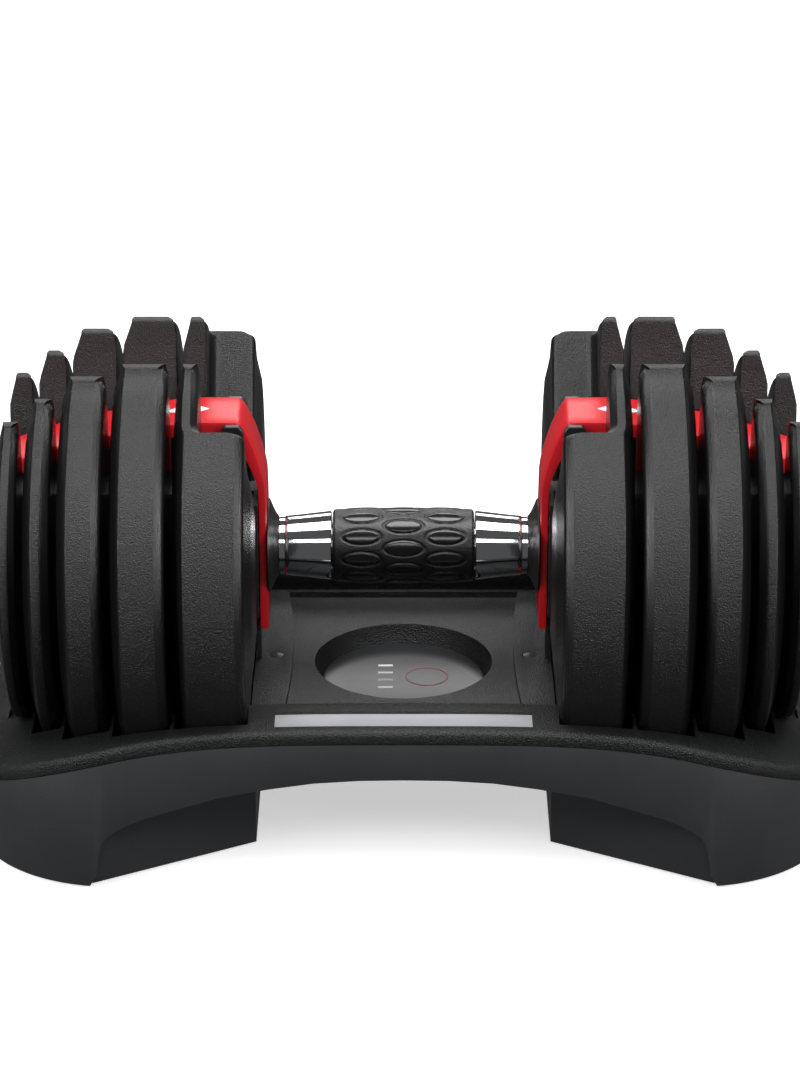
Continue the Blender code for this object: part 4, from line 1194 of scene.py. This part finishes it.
@dataclass
class Tray:
    """Cradle tray: black deck with wells, platform and dish over a grey arched shell."""

    half_length: float = 198.0
    half_depth: float = 105.5
    corner: tuple[float, float] = (68.0, 65.0)
    top: float = 79.0
    fall: float = 30.0
    flat_end: float = 183.5
    band: float = 6.3
    seam: float = 0.4
    edge_round: float = 2.6
    wall: float = 3.5
    bottom: float = 1.2
    well_clear: float = 1.0
    well_side: float = 0.6
    rib: float = 13.0
    shell: float = 3.0
    basin_y: float = 76.0
    basin_z: float = 68.0
    platform_z: float = 65.0
    platform_y: float = 73.0
    platform_x: tuple[float, float] = (56.0, 4.0)
    panel_x: float = 57.5
    panel_y: tuple[float, float] = (84.5, 99.5)
    panel_drop: float = 1.3
    post_x: tuple[float, float] = (66.7, 68.9)
    post_half: float = 4.0
    post_top: float = 85.7
    screw_x: float = 59.5
    foot_x: float = 150.0
    foot_y: float = 72.0
    pod_foot: float = 4.0
    bar_y: tuple[float, ...] = (-12.0, -4.0, 4.0, 12.0)
    ink_z: tuple[float, float] = (56.5, 56.72)

    FAR = 200.0
    ARCH = ((0, 55), (20, 54.7), (40, 53.4), (60, 50.5), (83, 46), (100.6, 40.6), (116.8, 35.3),
            (124, 32.2), (129.5, 29), (133.5, 25.8), (135.5, 22.8), (137.0, 17.0), (138.3, 6.8),
            (144, -3))
    # Turned profiles, as radius and height.
    DISH_BLOCK = ((0, 51.0), (45.5, 51.0), (45.5, 67.0), (0, 67.0))
    DISH = ((0, 54.5), (38.5, 54.5), (41.5, 64.3), (42.0, 65.4), (42.0, 90), (0, 90))
    DISH_ROOM = ((0, 0), (46.5, 0), (46.5, 79), (0, 79))
    DISH_DISC = ((0, 54.8), (37.7, 54.8), (37.7, 56.2), (37.5, 56.5), (37.1, 56.6), (0, 56.6))
    DISH_RING = ((9.4, 56.5), (10.2, 56.5), (10.2, 56.72), (9.4, 56.72))
    SCREW_SEAT = ((0, 55), (1.9, 55), (1.9, 66.4), (3.5, 66.4), (3.5, 73), (0, 73))
    SCREW_HOLE = ((0, 50), (1.9, 50), (1.9, 70), (0, 70))
    FOOT_SEAT = ((0, -5), (9.6, -5), (9.6, 3.8), (0, 3.8))

    def rim_height(self, x: np.ndarray | float) -> np.ndarray | float:
        """Height of the deck's top edge, which falls with the 3.5th power of the place."""
        return self.top - self.fall * (np.abs(x) / self.flat_end) ** 3.5

    def outline(self, inset: float = 0.0, corner_steps: int = 26) -> np.ndarray:
        """Plan of the tray, straight sides and elliptical corners, counted from the right.

        Args:
            inset: Distance inside the tray's edge.
            corner_steps: Steps round a corner.

        Returns:
            Corners of the plan.
        """
        centre = (self.half_length - self.corner[0], self.half_depth - self.corner[1])
        radii = (self.corner[0] - inset, self.corner[1] - inset)
        parts = []
        for sign_x, sign_y, start in ((1, 1, 0), (-1, 1, 90), (-1, -1, 180), (1, -1, 270)):
            middle = (sign_x * centre[0], sign_y * centre[1])
            parts.append(arc(middle, radii, start, start + 90, corner_steps))
            if sign_x == sign_y:
                side = parts[-1][-1]
                share = np.linspace(0, 1, 42)[1:-1, None]
                parts.append(side * (1 - share) + side * [-1, 1] * share)
        return np.vstack(parts)

    def band_prism(self, name: str, low: float | None, high: float | None) -> bpy.types.Mesh:
        """Solid between two lines that follow the rim's height.

        Args:
            name: Name of the mesh.
            low: Drop of the lower line below the rim, or None for far below.
            high: Drop of the upper line, or None for far above.

        Returns:
            The mesh.
        """
        x = np.linspace(-1.05, 1.05, 85) * self.half_length
        reach = 1.05 * self.half_depth
        below = np.full_like(x, -10.0) if low is None else self.rim_height(x) - low
        above = np.full_like(x, 250.0) if high is None else self.rim_height(x) - high
        line = np.vstack([np.column_stack([x, below]), np.column_stack([x, above])[::-1]])
        return prism(name, line, -reach, reach, "XZ")

    def pillow(self) -> bpy.types.Mesh:
        """Rim slab: rings from the bottom edge over the rounded top edge to the middle line.

        A ring is the plan set in by an amount, then drawn towards the nearest point of a middle
        segment by a share; its height is the rim's height there less a quarter circle's drop.

        Returns:
            The mesh.
        """
        r = self.edge_round
        turn = np.linspace(0, math.pi / 2, 6)
        plan = [self.outline(float(inset)) for inset in r * (1 - np.cos(turn))]
        drops = r * (1 - np.sin(turn))
        half = self.half_length - self.half_depth
        rings, levels = [plan[0]], [np.full(len(plan[0]), self.band)]
        for line, drop in zip(plan, drops):
            rings.append(line)
            levels.append(np.full(len(line), drop))
        base = plan[-1]
        hub = np.column_stack([np.clip(base[:, 0], -half, half), np.zeros(len(base))])
        shares = np.linspace(1, 0, 9)[1:]
        for share in shares:
            rings.append(hub + (base - hub) * share)
            levels.append(np.zeros(len(base)))
        outer = plan[0]
        for share in shares[::-1]:
            rings.append(hub + (outer - hub) * share)
            levels.append(np.full(len(base), self.band))
        rings.append(outer)
        levels.append(np.full(len(outer), self.band))
        flat, level = np.stack(rings), np.stack(levels)
        points = np.dstack([flat, self.rim_height(flat[:, :, 0]) - level])
        return solid_mesh("deck", points, grid_faces(len(rings), flat.shape[1], True))

    def well_profile(self, grow: float, ribs: bool) -> list[tuple[float, float]]:
        """Stepped (radius, place) profile of the wells, one step a plate.

        Args:
            grow: Thickness of a shell round the wells, or nought for the wells.
            ribs: Whether a rib stands between two plates.

        Returns:
            Corners of the profile.
        """
        hollow_r = 7.0
        start = PLATES[0][0] - self.well_side
        points = [(hollow_r, start - grow)]
        for index, (inner, outer, radius) in enumerate(PLATES):
            begin = inner - self.well_side - (grow if index == 0 else 0)
            end = outer + self.well_side + grow
            if index and not ribs:
                begin = PLATES[index - 1][1] + self.well_side + grow
            reach = radius + self.well_clear + grow
            points += [(reach, begin), (reach, end)]
            if ribs and index < len(PLATES) - 1:
                after, _, after_r = PLATES[index + 1]
                points += [(after_r - self.rib, end), (after_r - self.rib, after - self.well_side)]
        points.append((hollow_r, PLATES[-1][1] + self.well_side + grow))
        return points

    def wells(self, grow: float, ribs: bool) -> list[bpy.types.Mesh]:
        """Solids of the wells on both sides."""
        profile = self.well_profile(grow, ribs)
        return [turned("well", profile, 144, Axis.HANDLE, side) for side in Side]

    def platform(self) -> np.ndarray:
        """Waisted plan of the platform, its sides curving in with the square of the place.

        Returns:
            Corners of the plan.
        """
        share = np.linspace(-1, 1, 25)
        reach, waist = self.platform_x
        half = np.column_stack([reach - waist * (1 - share ** 2), self.platform_y * share])
        return np.vstack([half, -half])

    def deck(self) -> bpy.types.Mesh:
        """Join the rim slab, the wells' shells and the floor, then cut the wells and basin.

        Returns:
            The mesh.
        """
        basin_x, basin_y = PLATES[0][0] - self.well_side - self.shell, self.basin_y
        floor = block("floor", (-basin_x - 1, -basin_y - 3, 62.0),
                      (basin_x + 1, basin_y + 3, 75.9))
        dish_block = turned("dish block", self.DISH_BLOCK, 128, Axis.UPRIGHT)
        lowered = self.band_prism("under the rim", None, 0.8)
        shells = [carved(shell, Carve.KEEP, lowered.copy())
                  for shell in self.wells(self.shell, False)]
        deck = carved(self.pillow(), Carve.JOIN, floor, dish_block, *shells)
        basin = block("basin", (-basin_x - 4, -basin_y, self.basin_z),
                      (basin_x + 4, basin_y, self.FAR))
        platform = prism("platform", self.platform(), self.platform_z, self.FAR)
        dish = turned("dish", self.DISH, 160, Axis.UPRIGHT)
        x = np.linspace(-self.panel_x, self.panel_x, 31)
        line = np.vstack([np.column_stack([x, self.rim_height(x) - self.panel_drop]),
                          [(self.panel_x, 95.0), (-self.panel_x, 95.0)]])
        panels = [prism("panel", line, *sorted(sign * y for y in self.panel_y), "XZ")
                  for sign in (-1, 1)]
        deck = carved(deck, Carve.CUT, *self.wells(0.0, True), basin, platform, dish, *panels)
        posts = []
        for sign in (1, -1):
            near, far = sorted(sign * x for x in self.post_x)
            posts.append(block("post", (near, -self.post_half, self.platform_z),
                               (far, self.post_half, self.post_top)))
        deck = carved(deck, Carve.JOIN, *posts)
        seats = [turned("seat", self.SCREW_SEAT, 40, Axis.UPRIGHT,
                        centre=(sign * self.screw_x, 0.0)) for sign in (-1, 1)]
        return carved(deck, Carve.CUT, *seats)

    def on_panel(self, places: np.ndarray) -> np.ndarray:
        """Whether points lie on the floor of the front or rear panel, which gets the painted
        reflection.

        Args:
            places: Centres of the deck's faces.

        Returns:
            True for each one that does.
        """
        x, y = np.abs(places[:, 0]), np.abs(places[:, 1])
        off_floor = np.abs(self.rim_height(x) - places[:, 2] - self.panel_drop)
        across = (y > self.panel_y[0] + 0.1) & (y < self.panel_y[1] - 0.1)
        return (x < self.panel_x - 0.1) & across & (off_floor < 0.3)

    def base(self) -> bpy.types.Mesh:
        """Hollow the grey shell, open the tunnel and the arches, and seat the feet.

        Returns:
            The mesh.
        """
        base = prism("base", self.outline(), self.bottom, self.top)
        front = self.half_depth - self.wall
        pods = []
        for sign in (-1, 1):
            half = np.array([(71.0, 60.0), (144.0, front), (144.0, 111.0), (210.0, 111.0)])
            plan = np.vstack([half * [1, -1], half[::-1]]) * [sign, 1]
            pods.append(carved(prism("pod", plan, self.bottom + self.pod_foot, 160.0), Carve.KEEP,
                               prism("inside", self.outline(self.wall), -5.0, 170.0)))
        half = np.array([(141.0, -front), (68.0, -61.5), (68.0, 61.5), (141.0, front)])
        void = np.vstack([half, -half])
        line = np.array(self.ARCH)
        arch = np.vstack([line[:0:-1] * [-1, 1], line])
        arches = [prism("arch", arch, *sorted((sign * (front - 0.5), sign * 115.0)), "XZ")
                  for sign in (-1, 1)]
        tools = [self.band_prism("top", self.band + self.seam, None), *pods,
                 prism("tunnel", void, -5.0, 57.0), prism("over the roof", void, 61.7, 160.0),
                 *arches, *self.wells(self.shell + 0.6, False),
                 turned("dish room", self.DISH_ROOM, 96, Axis.UPRIGHT)]
        for sign in (-1, 1):
            tools.append(turned("screw", self.SCREW_HOLE, 32, Axis.UPRIGHT,
                                centre=(sign * self.screw_x, 0.0)))
            for across in (-self.foot_y, self.foot_y):
                tools.append(turned("foot", self.FOOT_SEAT, 64, Axis.UPRIGHT,
                                    centre=(sign * self.foot_x, across)))
        return carved(base, Carve.CUT, *tools)

    def build(self) -> None:
        """Make the deck, shell, dish disc and its ink, and dress feet and screws."""
        deck = rounded_edges(self.deck(), 0.5, 40)
        deck.name = "deck_shell"
        shade(deck, 30)
        # The panels' floors get light grey, a painted reflection of the soft boxes.
        paint(deck, DECK_BLACK, PANEL_PAINTED_REFLECTION, self.on_panel)
        give_piece(deck, DECK_BLACK, "tray", "black_shell", "tray_deck")
        base = rounded_edges(self.base(), 0.7, 40)
        base.name = "base_shell"
        shade(base, 30)
        base.materials.clear()
        give_piece(base, SHELL_GREY, "tray", "grey_shell", "tray_base")
        disc = turned("dish_disc", self.DISH_DISC, 128, Axis.UPRIGHT)
        give_piece(disc, DISH_GREY, "tray", "dish_disc", "dish_insert")
        ring = turned("dish_ring", self.DISH_RING, 96, Axis.UPRIGHT, centre=(11.0, 0.0))
        give_piece(ring, INK_RED, "tray", "dish_disc")
        low, high = self.ink_z
        for number, y in enumerate(self.bar_y, start=1):
            bar = block(f"dish_bar_{number}", (-12.0, y - 1.0, low), (-5.0, y + 1.0, high))
            give_piece(bar, INK_WHITE, "tray", "dish_disc")
        for node in [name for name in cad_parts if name.startswith("foot_")]:
            dress(node, FOOT_RUBBER)
        for side in Side:
            dress(f"deck_screw_{side.word}", BLACK_SCREW)


# ---------------------------------------------------------------- stage

@dataclass
class Studio:
    """Pale floor under soft boxes, and the camera, all in metres and watts."""

    camera_place: tuple[float, float, float] = (-0.0016, -1.515, 0.769)
    camera_way: tuple[float, float, float] = (0.0, 0.921, -0.389)
    lens: float = 119.1
    sensor: float = 36.0
    floor_half: float = 6.0
    target: tuple[float, float, float] = (0.0, 0.0, 0.12)
    world_light: float = 0.10

    # Name, place, size and power of each soft box.
    BOXES = (("top box", (0.0, 0.1, 1.5), (1.4, 0.8), 30.0),
             ("front box", (0.0, -2.0, 1.7), (1.6, 0.5), 14.0),
             ("left strip", (-1.4, -0.9, 0.9), (0.5, 1.2), 24.0),
             ("right strip", (1.4, -0.9, 0.9), (0.5, 1.2), 24.0),
             ("back strip", (0.0, 1.6, 1.0), (2.0, 0.5), 12.0))

    def floor(self) -> None:
        """Flat white floor, which glows a little so that it runs into the white behind."""
        made, tree, _ = start_material("painted board, white")
        # Matt white paint: even and pale.
        shader = add_node(tree, "ShaderNodeBsdfPrincipled", {
            "Base Color": linear("e8e8e8"), "Roughness": 0.9, "IOR": 1.4,
            "Emission Color": linear("ffffff"), "Emission Strength": 0.55})
        end_material(tree, shader)
        board = bpy.data.meshes.new("floor")
        size = self.floor_half
        corners = [(-size, -size, 0), (size, -size, 0), (size, size, 0), (-size, size, 0)]
        board.from_pydata(corners, [], [(0, 1, 2, 3)])
        board.materials.append(made)
        plane = held(board)
        plane.visible_glossy = False
        plane.visible_diffuse = False

    def aimed(self, data: bpy.types.ID, place: Sequence[float],
              way: Sequence[float]) -> bpy.types.Object:
        """Put a lamp or the camera in the scene.

        Args:
            data: The lamp or camera.
            place: Where it stands.
            way: Direction that it looks along.

        Returns:
            Its object.
        """
        holder = held(data)
        holder.location = place
        holder.rotation_euler = Vector(way).to_track_quat("-Z", "Y").to_euler()
        return holder

    def build(self) -> None:
        """Make the floor, lights, world and camera."""
        self.floor()
        for name, place, size, power in self.BOXES:
            lamp = bpy.data.lights.new(name, "AREA")
            lamp.shape, lamp.size, lamp.size_y, lamp.energy = "RECTANGLE", *size, power
            self.aimed(lamp, place, Vector(self.target) - Vector(place))
        world = bpy.data.worlds.new("studio")
        world.use_nodes = True
        tree = world.node_tree
        tree.nodes.clear()
        back = add_node(tree, "ShaderNodeBackground", {
            "Color": (1, 1, 1, 1), "Strength": self.world_light})
        add_node(tree, "ShaderNodeOutputWorld", {"Surface": back.outputs[0]})
        scene = bpy.context.scene
        scene.world = world
        scene.view_settings.view_transform = "Standard"
        camera = bpy.data.cameras.new("camera")
        camera.lens, camera.sensor_width = self.lens, self.sensor
        camera.clip_start, camera.clip_end = 0.05, 50.0
        scene.camera = self.aimed(camera, self.camera_place, self.camera_way)


def main() -> None:
    """Build the dumbbell, its tray and the studio, and note the sizes."""
    logging.basicConfig(level=logging.INFO, format="%(name)s: %(message)s")
    Tray().build()
    handle = Handle()
    handle.build()
    for side in Side:
        handle.build_end(side)
        Cover().build(side)
        Lock().build(side)
        Dial().build(side)
        Plates().build(side)
    Studio().build()


if __name__ == "__main__":
    main()
